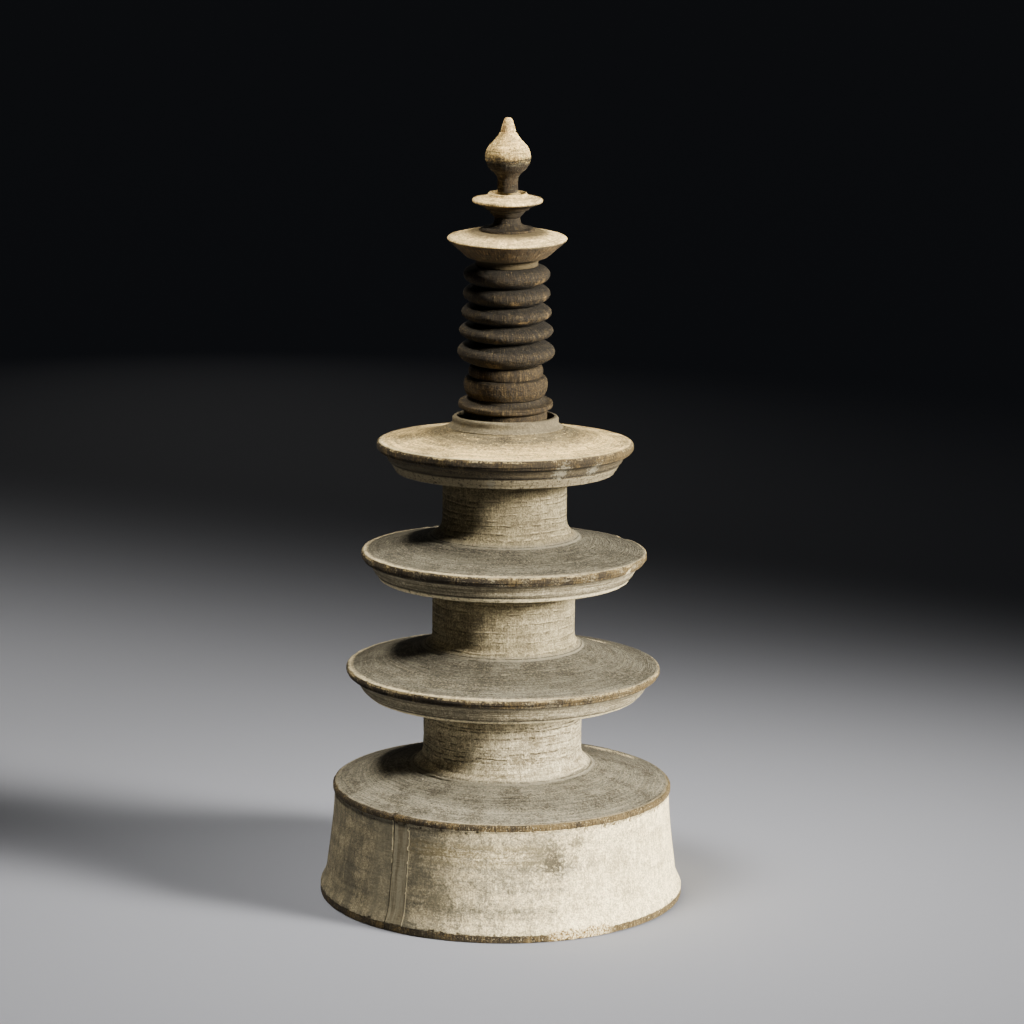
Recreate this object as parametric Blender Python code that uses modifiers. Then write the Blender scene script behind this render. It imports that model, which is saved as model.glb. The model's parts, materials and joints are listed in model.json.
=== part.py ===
"""Miniature three-storey pagoda of turned wood, with a plug-in finial.

Two turned blocks make the whole object. The body is a drum-shaped base and three
round storeys, bored from the top for a small scroll. The finial is a spire of
rings, discs and a jewel, whose plug closes the bore and stands a little askew.
Every member below is one solid of its own. Sizes are in metres and +Z is up.
The origin is the middle of the foot.
"""

import math
from collections import namedtuple

import bpy

MM = 0.001

# Gap between solids that touch on the real object
GAP = 0.3 * MM

# Sides of a turned solid, and the crease angle above which its edges look sharp
BODY_SIDES = 48
FINIAL_SIDES = 32
SHARP_ANGLE = math.radians(35)

# Upright edge of a wall's flared foot, and the chamfer on the finial's thin discs
TOE_H = 0.5 * MM
CHAMFER = 0.3 * MM

# Base drum
FOOT_R = 51.4 * MM
FOOT_BAND_H = 2.4 * MM
BASE_SHOULDER_R = 49.9 * MM
BASE_SHOULDER_Z = 5.8 * MM
BASE_NECK_R = 47.4 * MM
BASE_NECK_Z = 29.4 * MM
BASE_FLARE_POWER = 1.5
BASE_RIM_R = 47.9 * MM
BASE_RIM_BOTTOM_Z = 29.9 * MM
BASE_RIM_TOP_Z = 31.4 * MM
BASE_TOP_EDGE_R = 47.2 * MM
BASE_TOP_EDGE_Z = 31.9 * MM

# Storeys, from the ground up: a wall with a flared foot, then a round roof.
# A roof's underside runs from the lip by a crease up to the rim, and its top
# falls from the next wall's foot to the rim edge as a power curve.
Storey = namedtuple(
    "Storey",
    "name floor_z foot_r wall_r cove_z soffit_z lip_r crease_r crease_z"
    " rim_r rim_bottom_z rim_top_z edge_r edge_z crown_r crown_z crown_power",
)
FIRST = Storey(
    name="first",
    floor_z=37.2 * MM, foot_r=25.1 * MM, wall_r=22.4 * MM, cove_z=42.0 * MM,
    soffit_z=57.1 * MM, lip_r=38.0 * MM, crease_r=39.3 * MM, crease_z=58.4 * MM,
    rim_r=44.2 * MM, rim_bottom_z=63.6 * MM, rim_top_z=65.0 * MM,
    edge_r=43.6 * MM, edge_z=65.4 * MM,
    crown_r=21.9 * MM, crown_z=71.3 * MM, crown_power=1.2,
)
SECOND = Storey(
    name="second",
    floor_z=71.3 * MM, foot_r=21.9 * MM, wall_r=20.1 * MM, cove_z=74.6 * MM,
    soffit_z=89.8 * MM, lip_r=34.8 * MM, crease_r=35.9 * MM, crease_z=91.4 * MM,
    rim_r=40.0 * MM, rim_bottom_z=96.0 * MM, rim_top_z=97.8 * MM,
    edge_r=39.4 * MM, edge_z=98.2 * MM,
    crown_r=20.6 * MM, crown_z=102.2 * MM, crown_power=1.2,
)
THIRD = Storey(
    name="third",
    floor_z=102.2 * MM, foot_r=20.6 * MM, wall_r=17.5 * MM, cove_z=107.2 * MM,
    soffit_z=120.1 * MM, lip_r=30.4 * MM, crease_r=32.3 * MM, crease_z=123.2 * MM,
    rim_r=35.8 * MM, rim_bottom_z=126.6 * MM, rim_top_z=128.6 * MM,
    edge_r=34.7 * MM, edge_z=129.1 * MM,
    crown_r=15.6 * MM, crown_z=133.0 * MM, crown_power=1.8,
)

# Raised mouth of the bore
COLLAR_R = 14.8 * MM
COLLAR_LIP_R = 14.1 * MM
COLLAR_FOOT_Z = 134.1 * MM
COLLAR_TOP_Z = 136.0 * MM
MOUTH_R = 13.4 * MM

# Bore for the scroll, from the mouth down into the first roof
BORE_R = 12.15 * MM
BORE_FLOOR_Z = 60.8 * MM

# The finial leans towards the front about the middle of the mouth. Heights on
# the finial are measured along its own axis from that point.
LEAN = math.radians(4.5)

PLUG_TOP_H = 2.1 * MM
PLUG_TOP_R = 11.6 * MM
PLUG_TAPER_H = -1.0 * MM
PLUG_END_H = -20.0 * MM
PLUG_END_R = 10.2 * MM
PLUG_END_BEVEL = 0.8 * MM

SEAT_DISC_R = 13.2 * MM
SEAT_DISC_EDGE_BOTTOM_H = 2.7 * MM
SEAT_DISC_EDGE_TOP_H = 4.1 * MM
SEAT_DISC_TOP_H = 6.0 * MM
SEAT_DISC_NECK_R = 10.5 * MM

LOWER_BEAD_R = 11.7 * MM
LOWER_BEAD_TOP_H = 11.6 * MM
BEAD_NOTCH_R = 10.2 * MM
UPPER_BEAD_R = 10.4 * MM
UPPER_BEAD_TOP_H = 14.8 * MM
UPPER_BEAD_TOP_R = 9.1 * MM

# Rings from the lowest, number 5, to the highest, number 1
RING_BOTTOM_H = 14.8 * MM
RING_TOP_HS = [21.5 * MM, 26.6 * MM, 31.8 * MM, 37.0 * MM, 42.4 * MM]
RING_RS = [13.6 * MM, 13.1 * MM, 12.5 * MM, 12.1 * MM, 12.0 * MM]
RING_GROOVE_R = 9.6 * MM
RING_BELLY_SHARE = 0.52

CANOPY_BOTTOM_H = 42.4 * MM
CANOPY_NECK_R = 9.0 * MM
CANOPY_LIP_R = 10.8 * MM
CANOPY_LIP_H = 43.8 * MM
CANOPY_STEP_R = 12.1 * MM
CANOPY_STEP_H = 45.2 * MM
CANOPY_R = 16.5 * MM
CANOPY_EDGE_BOTTOM_H = 49.3 * MM
CANOPY_EDGE_TOP_H = 49.9 * MM
CANOPY_CROWN_R = 8.0 * MM
CANOPY_CROWN_H = 51.8 * MM

NECK_R = 3.6 * MM
NECK_TOE_H = 0.2 * MM
NECK_COVE_TOP_H = 54.6 * MM
NECK_TOP_H = 55.4 * MM

SMALL_DISC_R = 9.7 * MM
SMALL_DISC_STEP_R = 5.5 * MM
SMALL_DISC_STEP_H = 56.9 * MM
SMALL_DISC_EDGE_BOTTOM_H = 59.5 * MM
SMALL_DISC_EDGE_TOP_H = 60.1 * MM
SMALL_DISC_COLLAR_R = 5.4 * MM
SMALL_DISC_COLLAR_FOOT_H = 61.3 * MM
SMALL_DISC_COLLAR_TOP_H = 62.2 * MM
SMALL_DISC_DISH_R = 3.9 * MM
SMALL_DISC_TOP_H = 61.6 * MM

JEWEL_STEM_R = 2.9 * MM
JEWEL_LEDGE_R = 3.4 * MM
JEWEL_LEDGE_H = 66.9 * MM
JEWEL_STEM_TOP_H = 66.2 * MM
JEWEL_R = 6.3 * MM
JEWEL_BELLY_H = 71.8 * MM
JEWEL_BELLY_HALF_H = 5.5 * MM
JEWEL_SHOULDER_R = 2.9 * MM
JEWEL_SHOULDER_H = 77.5 * MM
JEWEL_NUB_R = 2.1 * MM
JEWEL_NUB_H = 79.0 * MM
JEWEL_TIP_R = 1.3 * MM
JEWEL_TIP_SHOULDER_H = 81.7 * MM
JEWEL_TIP_FLAT_R = 0.7 * MM
JEWEL_TIP_H = 82.5 * MM

# Colours: linear RGB
CREAM_GROUND = (0.56, 0.53, 0.43)
GREY_GROUND = (0.30, 0.28, 0.23)
BEIGE_GROUND = (0.36, 0.32, 0.24)
DARK_WOOD = (0.070, 0.052, 0.033)
BROWN_WOOD = (0.120, 0.082, 0.045)


def clear_scene():
    for old in list(bpy.data.objects):
        bpy.data.objects.remove(old, do_unlink=True)


def new_collection(name):
    collection = bpy.data.collections.new(name)
    bpy.context.scene.collection.children.link(collection)
    return collection


def finish_for(node_name, colour, roughness):
    """A Principled material for one sub-part."""
    material = bpy.data.materials.new(node_name + "_finish")
    material.use_nodes = True
    shader = material.node_tree.nodes["Principled BSDF"]
    shader.inputs["Base Color"].default_value = (*colour, 1.0)
    shader.inputs["Roughness"].default_value = roughness
    shader.inputs["Metallic"].default_value = 0.0
    material.diffuse_color = (*colour, 1.0)
    return material


def turned(name, profile, sides, closed, collection, material, parent=None):
    """A lathe shape: the profile, at +X and running down its outer side, is spun round Z."""
    points = [(r, 0.0, z) for r, z in profile]
    edges = [(i, i + 1) for i in range(len(points) - 1)]
    if closed:
        edges.append((len(points) - 1, 0))
    mesh = bpy.data.meshes.new(name)
    mesh.from_pydata(points, edges, [])
    piece = bpy.data.objects.new(name, mesh)
    collection.objects.link(piece)
    mesh.materials.append(material)
    screw = piece.modifiers.new("Turning", "SCREW")
    screw.axis = "Z"
    screw.angle = math.tau
    screw.steps = sides
    screw.render_steps = sides
    screw.use_merge_vertices = True
    screw.merge_threshold = 0.00005

    evaluated = piece.evaluated_get(bpy.context.evaluated_depsgraph_get())
    solid = bpy.data.meshes.new_from_object(evaluated)
    solid.shade_smooth()
    solid.set_sharp_from_angle(angle=SHARP_ANGLE)
    piece.modifiers.clear()
    piece.data = solid
    bpy.data.meshes.remove(mesh)
    solid.name = name
    piece.parent = parent


def arc(centre_r, centre_z, radius_r, radius_z, start, end, count):
    """Points of an elliptical arc in the profile's plane, angles in degrees from +R."""
    points = []
    for i in range(count):
        angle = math.radians(start + (end - start) * i / (count - 1))
        points.append((centre_r + radius_r * math.cos(angle), centre_z + radius_z * math.sin(angle)))
    return points


def power_curve(start, end, power, count):
    """Points from start to end whose radius moves evenly and whose height lags as a power."""
    points = []
    for i in range(count):
        share = i / (count - 1)
        r = start[0] + (end[0] - start[0]) * share
        z = end[1] + (start[1] - end[1]) * (1.0 - share) ** power
        points.append((r, z))
    return points


def cove(inner_r, top_z, outer_r, bottom_z, count):
    """A hollow quarter curve that spreads downwards from a wall to its foot."""
    return arc(outer_r, top_z, outer_r - inner_r, top_z - bottom_z, 180, 270, count)


def base_profile():
    drum = []
    steps = 5
    for i in range(steps + 1):
        share = i / steps
        r = BASE_NECK_R + (BASE_SHOULDER_R - BASE_NECK_R) * share ** BASE_FLARE_POWER
        drum.append((r, BASE_NECK_Z + (BASE_SHOULDER_Z - BASE_NECK_Z) * share))
    return [
        (0.0, FIRST.floor_z),
        (FIRST.foot_r, FIRST.floor_z),
        (BASE_TOP_EDGE_R, BASE_TOP_EDGE_Z),
        (BASE_RIM_R, BASE_RIM_TOP_Z),
        (BASE_RIM_R, BASE_RIM_BOTTOM_Z),
        *drum,
        (FOOT_R, FOOT_BAND_H),
        (FOOT_R, 0.0),
        (0.0, 0.0),
    ]


def wall_profile(storey, bored):
    top = storey.soffit_z - GAP
    bottom = storey.floor_z + GAP
    inner_r = BORE_R if bored else 0.0
    return [
        (inner_r, top),
        (storey.wall_r, top),
        *cove(storey.wall_r, storey.cove_z, storey.foot_r, bottom + TOE_H, 4),
        (storey.foot_r, bottom),
        (inner_r, bottom),
    ]


def roof_outline(storey):
    """The outer side of a roof, from its crown over the rim to the soffit's lip."""
    crown = power_curve(
        (storey.crown_r, storey.crown_z), (storey.edge_r, storey.edge_z), storey.crown_power, 5
    )
    return [
        *crown,
        (storey.rim_r, storey.rim_top_z),
        (storey.rim_r, storey.rim_bottom_z),
        (storey.crease_r, storey.crease_z),
        (storey.lip_r, storey.soffit_z),
    ]


def through_roof_profile(storey):
    return [
        (BORE_R, storey.crown_z),
        *roof_outline(storey),
        (BORE_R, storey.soffit_z),
    ]


def first_roof_profile():
    """The first roof holds the floor of the bore."""
    return [
        (0.0, BORE_FLOOR_Z),
        (BORE_R, BORE_FLOOR_Z),
        (BORE_R, FIRST.crown_z),
        *roof_outline(FIRST),
        (0.0, FIRST.soffit_z),
    ]


def collar_profile():
    bottom = THIRD.crown_z + GAP
    round_r = COLLAR_R - COLLAR_LIP_R
    return [
        (MOUTH_R, COLLAR_TOP_Z),
        *arc(COLLAR_LIP_R, COLLAR_TOP_Z - round_r, round_r, round_r, 90, 0, 3),
        (COLLAR_R, COLLAR_FOOT_Z),
        (THIRD.crown_r, bottom),
        (MOUTH_R, bottom),
    ]


def plug_profile():
    return [
        (0.0, PLUG_TOP_H - GAP),
        (PLUG_TOP_R, PLUG_TOP_H - GAP),
        (PLUG_TOP_R, PLUG_TAPER_H),
        (PLUG_END_R, PLUG_END_H + PLUG_END_BEVEL),
        (PLUG_END_R - PLUG_END_BEVEL, PLUG_END_H),
        (0.0, PLUG_END_H),
    ]


def seat_disc_profile():
    return [
        (0.0, SEAT_DISC_TOP_H - GAP),
        *cove(SEAT_DISC_NECK_R, SEAT_DISC_TOP_H - GAP, SEAT_DISC_R - CHAMFER, SEAT_DISC_EDGE_TOP_H, 4),
        (SEAT_DISC_R, SEAT_DISC_EDGE_TOP_H - CHAMFER),
        (SEAT_DISC_R, SEAT_DISC_EDGE_BOTTOM_H),
        (PLUG_TOP_R, PLUG_TOP_H),
        (0.0, PLUG_TOP_H),
    ]


def bead_profile(top_h, top_r, bottom_h, bottom_r, belly_r, belly_share):
    """A turned bead: rounded above and below its widest place."""
    belly_h = bottom_h + (top_h - bottom_h) * belly_share
    upper = arc(top_r, belly_h, belly_r - top_r, top_h - belly_h, 90, 0, 4)
    lower = arc(bottom_r, belly_h, belly_r - bottom_r, belly_h - bottom_h, 0, -90, 4)
    return [(0.0, top_h), *upper, *lower[1:], (0.0, bottom_h)]


def canopy_profile():
    return [
        (0.0, CANOPY_CROWN_H),
        (CANOPY_CROWN_R, CANOPY_CROWN_H),
        (CANOPY_R - CHAMFER, CANOPY_EDGE_TOP_H),
        (CANOPY_R, CANOPY_EDGE_TOP_H - CHAMFER),
        (CANOPY_R, CANOPY_EDGE_BOTTOM_H),
        (CANOPY_STEP_R, CANOPY_STEP_H),
        (CANOPY_STEP_R - CHAMFER, CANOPY_STEP_H - CHAMFER),
        (CANOPY_LIP_R, CANOPY_LIP_H),
        (CANOPY_NECK_R, CANOPY_BOTTOM_H + GAP),
        (0.0, CANOPY_BOTTOM_H + GAP),
    ]


def neck_profile():
    bottom = CANOPY_CROWN_H + GAP
    return [
        (0.0, NECK_TOP_H),
        (NECK_R, NECK_TOP_H),
        *cove(NECK_R, NECK_COVE_TOP_H, CANOPY_CROWN_R, bottom + NECK_TOE_H, 5),
        (CANOPY_CROWN_R, bottom),
        (0.0, bottom),
    ]


def small_disc_profile():
    bottom = NECK_TOP_H + GAP
    return [
        (0.0, SMALL_DISC_TOP_H),
        (SMALL_DISC_DISH_R, SMALL_DISC_TOP_H),
        (SMALL_DISC_COLLAR_R - CHAMFER, SMALL_DISC_COLLAR_TOP_H),
        (SMALL_DISC_COLLAR_R, SMALL_DISC_COLLAR_TOP_H - CHAMFER),
        (SMALL_DISC_COLLAR_R, SMALL_DISC_COLLAR_FOOT_H),
        (SMALL_DISC_R - CHAMFER, SMALL_DISC_EDGE_TOP_H + CHAMFER),
        (SMALL_DISC_R, SMALL_DISC_EDGE_TOP_H),
        (SMALL_DISC_R, SMALL_DISC_EDGE_BOTTOM_H),
        (SMALL_DISC_STEP_R, SMALL_DISC_STEP_H),
        (NECK_R, bottom),
        (0.0, bottom),
    ]


def jewel_profile():
    belly = arc(0.0, JEWEL_BELLY_H, JEWEL_R, JEWEL_BELLY_HALF_H, 48, -52, 7)
    return [
        (0.0, JEWEL_TIP_H),
        (JEWEL_TIP_FLAT_R, JEWEL_TIP_H),
        (JEWEL_TIP_R, JEWEL_TIP_SHOULDER_H),
        (JEWEL_NUB_R, JEWEL_NUB_H),
        (JEWEL_SHOULDER_R, JEWEL_SHOULDER_H),
        *belly,
        (JEWEL_LEDGE_R, JEWEL_LEDGE_H),
        (JEWEL_STEM_R, JEWEL_STEM_TOP_H),
        (JEWEL_STEM_R, SMALL_DISC_TOP_H + GAP),
        (0.0, SMALL_DISC_TOP_H + GAP),
    ]


def build_body(collection):
    def turn(name, profile, colour, closed=False):
        material = finish_for(name, colour, 0.85)
        turned(name, profile, BODY_SIDES, closed, collection, material)

    turn("base", base_profile(), CREAM_GROUND)
    turn("first_storey_wall", wall_profile(FIRST, bored=False), BEIGE_GROUND)
    turn("first_roof", first_roof_profile(), GREY_GROUND)
    for storey in (SECOND, THIRD):
        turn(storey.name + "_storey_wall", wall_profile(storey, bored=True), BEIGE_GROUND, closed=True)
        turn(storey.name + "_roof", through_roof_profile(storey), GREY_GROUND, closed=True)
    turn("socket_collar", collar_profile(), GREY_GROUND, closed=True)


def build_finial(collection):
    axis = bpy.data.objects.new("finial_axis", None)
    axis.empty_display_size = 0.03
    axis.location = (0.0, 0.0, COLLAR_TOP_Z)
    axis.rotation_euler = (LEAN, 0.0, 0.0)
    collection.objects.link(axis)

    def turn(name, profile, colour):
        material = finish_for(name, colour, 0.8)
        turned(name, profile, FINIAL_SIDES, False, collection, material, parent=axis)

    turn("socket_plug", plug_profile(), BROWN_WOOD)
    turn("seat_disc", seat_disc_profile(), BROWN_WOOD)
    lower_bead = bead_profile(
        LOWER_BEAD_TOP_H - GAP, BEAD_NOTCH_R, SEAT_DISC_TOP_H, SEAT_DISC_NECK_R, LOWER_BEAD_R, 0.58
    )
    turn("lower_bead", lower_bead, BROWN_WOOD)
    upper_bead = bead_profile(
        UPPER_BEAD_TOP_H - GAP, UPPER_BEAD_TOP_R, LOWER_BEAD_TOP_H, BEAD_NOTCH_R, UPPER_BEAD_R, 0.4
    )
    turn("upper_bead", upper_bead, BROWN_WOOD)

    bottom_h = RING_BOTTOM_H
    for number, top_h, ring_r in zip((5, 4, 3, 2, 1), RING_TOP_HS, RING_RS):
        profile = bead_profile(
            top_h - GAP, RING_GROOVE_R, bottom_h, RING_GROOVE_R, ring_r, RING_BELLY_SHARE
        )
        turn("ring_%d" % number, profile, DARK_WOOD)
        bottom_h = top_h

    turn("canopy", canopy_profile(), CREAM_GROUND)
    turn("upper_neck", neck_profile(), BROWN_WOOD)
    turn("small_disc", small_disc_profile(), CREAM_GROUND)
    turn("jewel", jewel_profile(), CREAM_GROUND)


def main():
    clear_scene()
    collection = new_collection("miniature_pagoda")
    build_body(collection)
    build_finial(collection)


main()
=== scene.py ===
# %% [markdown]
# # A miniature pagoda of turned wood
#
# The real object is about 22 cm tall. It was turned on a lathe in two blocks of wood, the body
# and the finial, and then brushed with a white mineral ground. The ground has since greyed,
# cracked and worn off at the edges.
#
# The solids of the frame already have the right sizes. This script keeps those sizes and gives
# each member what a plain solid lacks: soft edges, tool marks, lost ground and colour.

# %% Load the frame
import json
import math

import bpy
from mathutils import Matrix, Vector


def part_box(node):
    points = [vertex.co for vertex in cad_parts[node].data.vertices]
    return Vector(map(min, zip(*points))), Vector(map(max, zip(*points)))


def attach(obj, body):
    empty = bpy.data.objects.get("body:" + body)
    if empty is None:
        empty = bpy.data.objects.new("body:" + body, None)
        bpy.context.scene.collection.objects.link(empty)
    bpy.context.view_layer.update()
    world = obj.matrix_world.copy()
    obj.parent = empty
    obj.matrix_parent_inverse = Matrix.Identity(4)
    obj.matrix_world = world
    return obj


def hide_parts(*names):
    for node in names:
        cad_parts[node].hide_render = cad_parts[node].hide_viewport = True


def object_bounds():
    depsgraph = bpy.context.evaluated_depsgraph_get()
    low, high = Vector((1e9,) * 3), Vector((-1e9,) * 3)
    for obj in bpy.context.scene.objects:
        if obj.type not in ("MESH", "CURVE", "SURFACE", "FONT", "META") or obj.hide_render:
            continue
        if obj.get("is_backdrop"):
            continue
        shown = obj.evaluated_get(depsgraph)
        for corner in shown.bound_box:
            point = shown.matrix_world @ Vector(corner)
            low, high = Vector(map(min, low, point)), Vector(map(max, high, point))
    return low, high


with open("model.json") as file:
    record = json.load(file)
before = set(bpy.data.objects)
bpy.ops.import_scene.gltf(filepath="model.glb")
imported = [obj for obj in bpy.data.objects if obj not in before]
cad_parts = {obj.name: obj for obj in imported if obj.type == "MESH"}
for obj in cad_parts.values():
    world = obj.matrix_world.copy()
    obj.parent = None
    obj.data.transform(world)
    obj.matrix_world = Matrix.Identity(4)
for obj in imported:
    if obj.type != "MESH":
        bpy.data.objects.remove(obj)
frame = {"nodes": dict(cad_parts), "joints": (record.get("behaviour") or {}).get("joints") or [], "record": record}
CAD_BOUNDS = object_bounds()
MM = 0.001

STACKS = frame["record"]["behaviour"]["bodies"]
BODY_OF_NODE = {node: body for body, nodes in STACKS.items() for node in nodes}
LIFT_AXIS = Vector(frame["joints"][0]["axis"])
LEAN = math.atan2(-LIFT_AXIS.y, LIFT_AXIS.z)
PIVOT_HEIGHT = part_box("socket_collar")[1].z
print(f"{len(BODY_OF_NODE)} members; the finial leans {math.degrees(LEAN):.1f} degrees")

# %% [markdown]
# ## Reading a member's profile
#
# A turned member is fully described by its profile, the line that the chisel followed. The
# solids of the frame were made by spinning such a line, so the vertices of a solid that lie in
# one half plane through the axis give that line back. It could be typed in again by hand, but
# then the two would drift apart, so here it is read from the solid.


# %% Profile points of a member
ON_PLANE = 0.02 * MM
DIGITS = 5


def upright(node, place):
    """A vertex as it stands when its member's axis is upright, as on the lathe."""
    if BODY_OF_NODE[node] == "pagoda_body":
        return place
    low = place - Vector((0.0, 0.0, PIVOT_HEIGHT))
    back = low.copy()
    back.y = low.y * math.cos(LEAN) + low.z * math.sin(LEAN)
    back.z = low.z * math.cos(LEAN) - low.y * math.sin(LEAN)
    return back


def half_plane_links(node):
    """Which points of the half plane y = 0, x >= 0 the solid's edges join, as (radius, height)."""
    mesh = frame["nodes"][node].data
    stands = [upright(node, vertex.co) for vertex in mesh.vertices]
    points = [
        (round(place.x, DIGITS), round(place.z, DIGITS))
        if abs(place.y) < ON_PLANE and place.x >= 0.0
        else None
        for place in stands
    ]
    links = {}
    for face in mesh.polygons:
        ring = [points[index] for index in face.vertices]
        for first, second in zip(ring, ring[1:] + ring[:1]):
            if first and second and first != second:
                links.setdefault(first, set()).add(second)
                links.setdefault(second, set()).add(first)
    return links


def cad_profile(node):
    """The profile in order, up the outside, and whether it closes on itself round a bore."""
    links = half_plane_links(node)
    ends = [point for point in links if len(links[point]) == 1]
    if ends:
        here = min(ends, key=lambda point: (point[1], -point[0]))
    else:
        here = min(links, key=lambda point: (point[0], -point[1]))
    line = [here]
    while True:
        onward = [point for point in links[here] if point not in line]
        if not onward:
            break
        here = max(onward) if len(line) == 1 and len(onward) > 1 else onward[0]
        line.append(here)
    pairs = zip(line, line[1:] + line[:1])
    area = sum(r0 * z1 - r1 * z0 for (r0, z0), (r1, z1) in pairs)
    bored = not ends
    if bored and area < 0.0:
        line = [line[0]] + line[:0:-1]
    return line, bored


PROFILES = {node: cad_profile(node) for node in BODY_OF_NODE}
for node in ("base", "second_roof", "jewel"):
    line, bored = PROFILES[node]
    print(f"{node}: {len(line)} profile points{', round a bore' if bored else ''}")

# %% [markdown]
# ## Drawing the profile finely
#
# The solids are plain, with one straight piece of profile where the real member has a soft
# curve, and edges as sharp as a knife. A close look needs both mended: a curve that passes
# through the points gives the hollows and bellies. Each real corner is kept, but a small arc
# takes its edge off, since nothing that was turned, painted and handled for centuries has a
# sharp one. Turned grooves are sunk into the line where the real member shows them.

# %% Corners and curves
CONVEX_CORNER = math.radians(20.5)
HOLLOW_CORNER = math.radians(40.0)
RING_CORNER = math.radians(60.0)
ROUNDED_MEMBERS = ("lower_bead", "upper_bead", "ring_5", "ring_4", "ring_3", "ring_2", "ring_1")
FINE_STEP = 0.1 * MM
SEAM_LAP = 0.05 * MM


def turn_at(before, here, after):
    """How far the profile turns at a point, in radians, positive at an outer corner."""
    turn = math.atan2(after[1] - here[1], after[0] - here[0])
    turn -= math.atan2(here[1] - before[1], here[0] - before[0])
    return (turn + math.pi) % (2.0 * math.pi) - math.pi


def is_corner(node, before, here, after):
    """Whether a point is a real corner, and not one of the few that a soft curve was left with."""
    turn = turn_at(before, here, after)
    if node in ROUNDED_MEMBERS:
        return abs(turn) > RING_CORNER
    return turn > CONVEX_CORNER or turn < -HOLLOW_CORNER


def through_points(points):
    """A soft curve through the points, in steps of about FINE_STEP."""
    if len(points) < 3:
        (r0, z0), (r1, z1) = points
        count = max(1, round(math.dist(*points) / FINE_STEP))
        return [(r0 + (r1 - r0) * i / count, z0 + (z1 - z0) * i / count) for i in range(count + 1)]
    first, last = Vector(points[0]), Vector(points[-1])
    row = [first * 2 - Vector(points[1])] + [Vector(p) for p in points]
    row.append(last * 2 - Vector(points[-2]))
    drawn = [tuple(first)]
    for a, b, c, d in zip(row, row[1:], row[2:], row[3:]):
        span = (c - b).length
        lead = (c - a) * (span / ((b - a).length + span))
        follow = (d - b) * (span / ((d - c).length + span))
        count = max(1, round(span / FINE_STEP))
        for i in range(1, count + 1):
            t = i / count
            smooth = t * t * (3.0 - 2.0 * t)
            drawn.append(tuple(
                b * (1.0 - smooth) + c * smooth
                + lead * (t * (1.0 - t) ** 2) - follow * (t * t * (1.0 - t))
            ))
    return drawn


def laid_out(line):
    """The distance of each point along the line."""
    along = [0.0]
    for first, second in zip(line, line[1:]):
        along.append(along[-1] + math.dist(first, second))
    return along


print("curve through three points:", len(through_points([(0, 0), (MM, MM), (2 * MM, 0)])), "steps")

# %% From corners to a fine line
SAME_SIZE = 0.01 * MM
EDGE_REACH = 0.8 * MM
UNSEEN_STEP = 1.5 * MM
CORNER_STEP = 1.5 * FINE_STEP
LEVEL_SLOPE = 5.0
TOE_HEIGHT = 0.6 * MM
FEATHERED_FEET = {
    "first_storey_wall": 1.3 * MM,
    "second_storey_wall": 1.2 * MM,
    "third_storey_wall": 1.2 * MM,
    "socket_collar": 0.7 * MM,
    "upper_neck": 0.5 * MM,
}
RING_NOSE = 1.65
FINER_UNDERSIDES = {
    "canopy": ((8.6, 42.7), (8.7, 43.9), (11.2, 44.55), (12.0, 45.2)),
    "small_disc": ((3.6, 55.7), (4.6, 56.4), (5.0, 57.0), (6.0, 57.5), (6.3, 58.0), (9.7, 59.5)),
    "upper_neck": (
        (7.4, 52.1), (7.2, 52.45), (5.6, 52.6), (5.0, 52.85), (4.6, 53.15), (3.9, 53.6), (3.6, 54.6),
    ),
}
BORE_WALL = 12.4 * MM
MOST_TRIM = 0.45
NEAR_CORNER = 0.3


def with_axis_ends(line, bored):
    """An unbored member's profile starts and ends on the axis, which closes its two ends."""
    if bored:
        return line + [line[0]]
    return [(0.0, line[0][1])] + line + [(0.0, line[-1][1])]


def top_surface(node, radius):
    """The height of a member's sloping top at a radius."""
    line = PROFILES[node][0]
    widest = max(r for r, _ in line)
    rim_high = max(z for r, z in line if r > widest - SAME_SIZE)
    above_rim = [point for point in line if point[1] >= rim_high]
    for (r0, z0), (r1, z1) in zip(above_rim, above_rim[1:]):
        if r1 <= radius <= r0 and r0 > r1:
            return z0 + (z1 - z0) * (r0 - radius) / (r0 - r1)
    return max(z for _, z in line)


def lapped(node, line):
    """The profile run on over the hairlines to its neighbours, with a foot that dies out softly."""
    stack = STACKS[BODY_OF_NODE[node]]
    if node == stack[0] or node.endswith("roof"):
        return line
    below = stack[stack.index(node) - 1]
    bottom, top = min(z for _, z in line), max(z for _, z in line)
    moved = {bottom: max(z for _, z in PROFILES[below][0]) - SEAM_LAP}
    if node.endswith("wall"):
        above = PROFILES[stack[stack.index(node) + 1]][0]
        moved[top] = min(z for _, z in above) + SEAM_LAP
    if node not in FEATHERED_FEET:
        return [(r, moved.get(z, z)) for r, z in line]
    foot_r = max(r for r, z in line if z == bottom)
    reach = foot_r + FEATHERED_FEET[node]
    foot = (reach, top_surface(below, reach) - SEAM_LAP)
    feathered = []
    for r, z in line:
        if r < foot_r or z > bottom + TOE_HEIGHT:
            feathered.append((r, moved.get(z, z)))
        elif foot not in feathered:
            feathered.append(foot)
    return feathered


def with_finer_underside(node, line):
    """The finial's small steps, in mm, which the solids leave out, on a plain underside."""
    if node not in FINER_UNDERSIDES:
        return line
    steps = [(r * MM, z * MM) for r, z in FINER_UNDERSIDES[node]]
    return steps + [point for point in line if point[1] > steps[-1][1] + SAME_SIZE]


def sections_of(node, line):
    """The profile cut at its corners."""
    sections, current = [], [line[0]]
    for before, here, after in zip(line, line[1:], line[2:]):
        current.append(here)
        if is_corner(node, before, here, after):
            sections.append(current)
            current = [here]
    sections.append(current + [line[-1]])
    return sections


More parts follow.
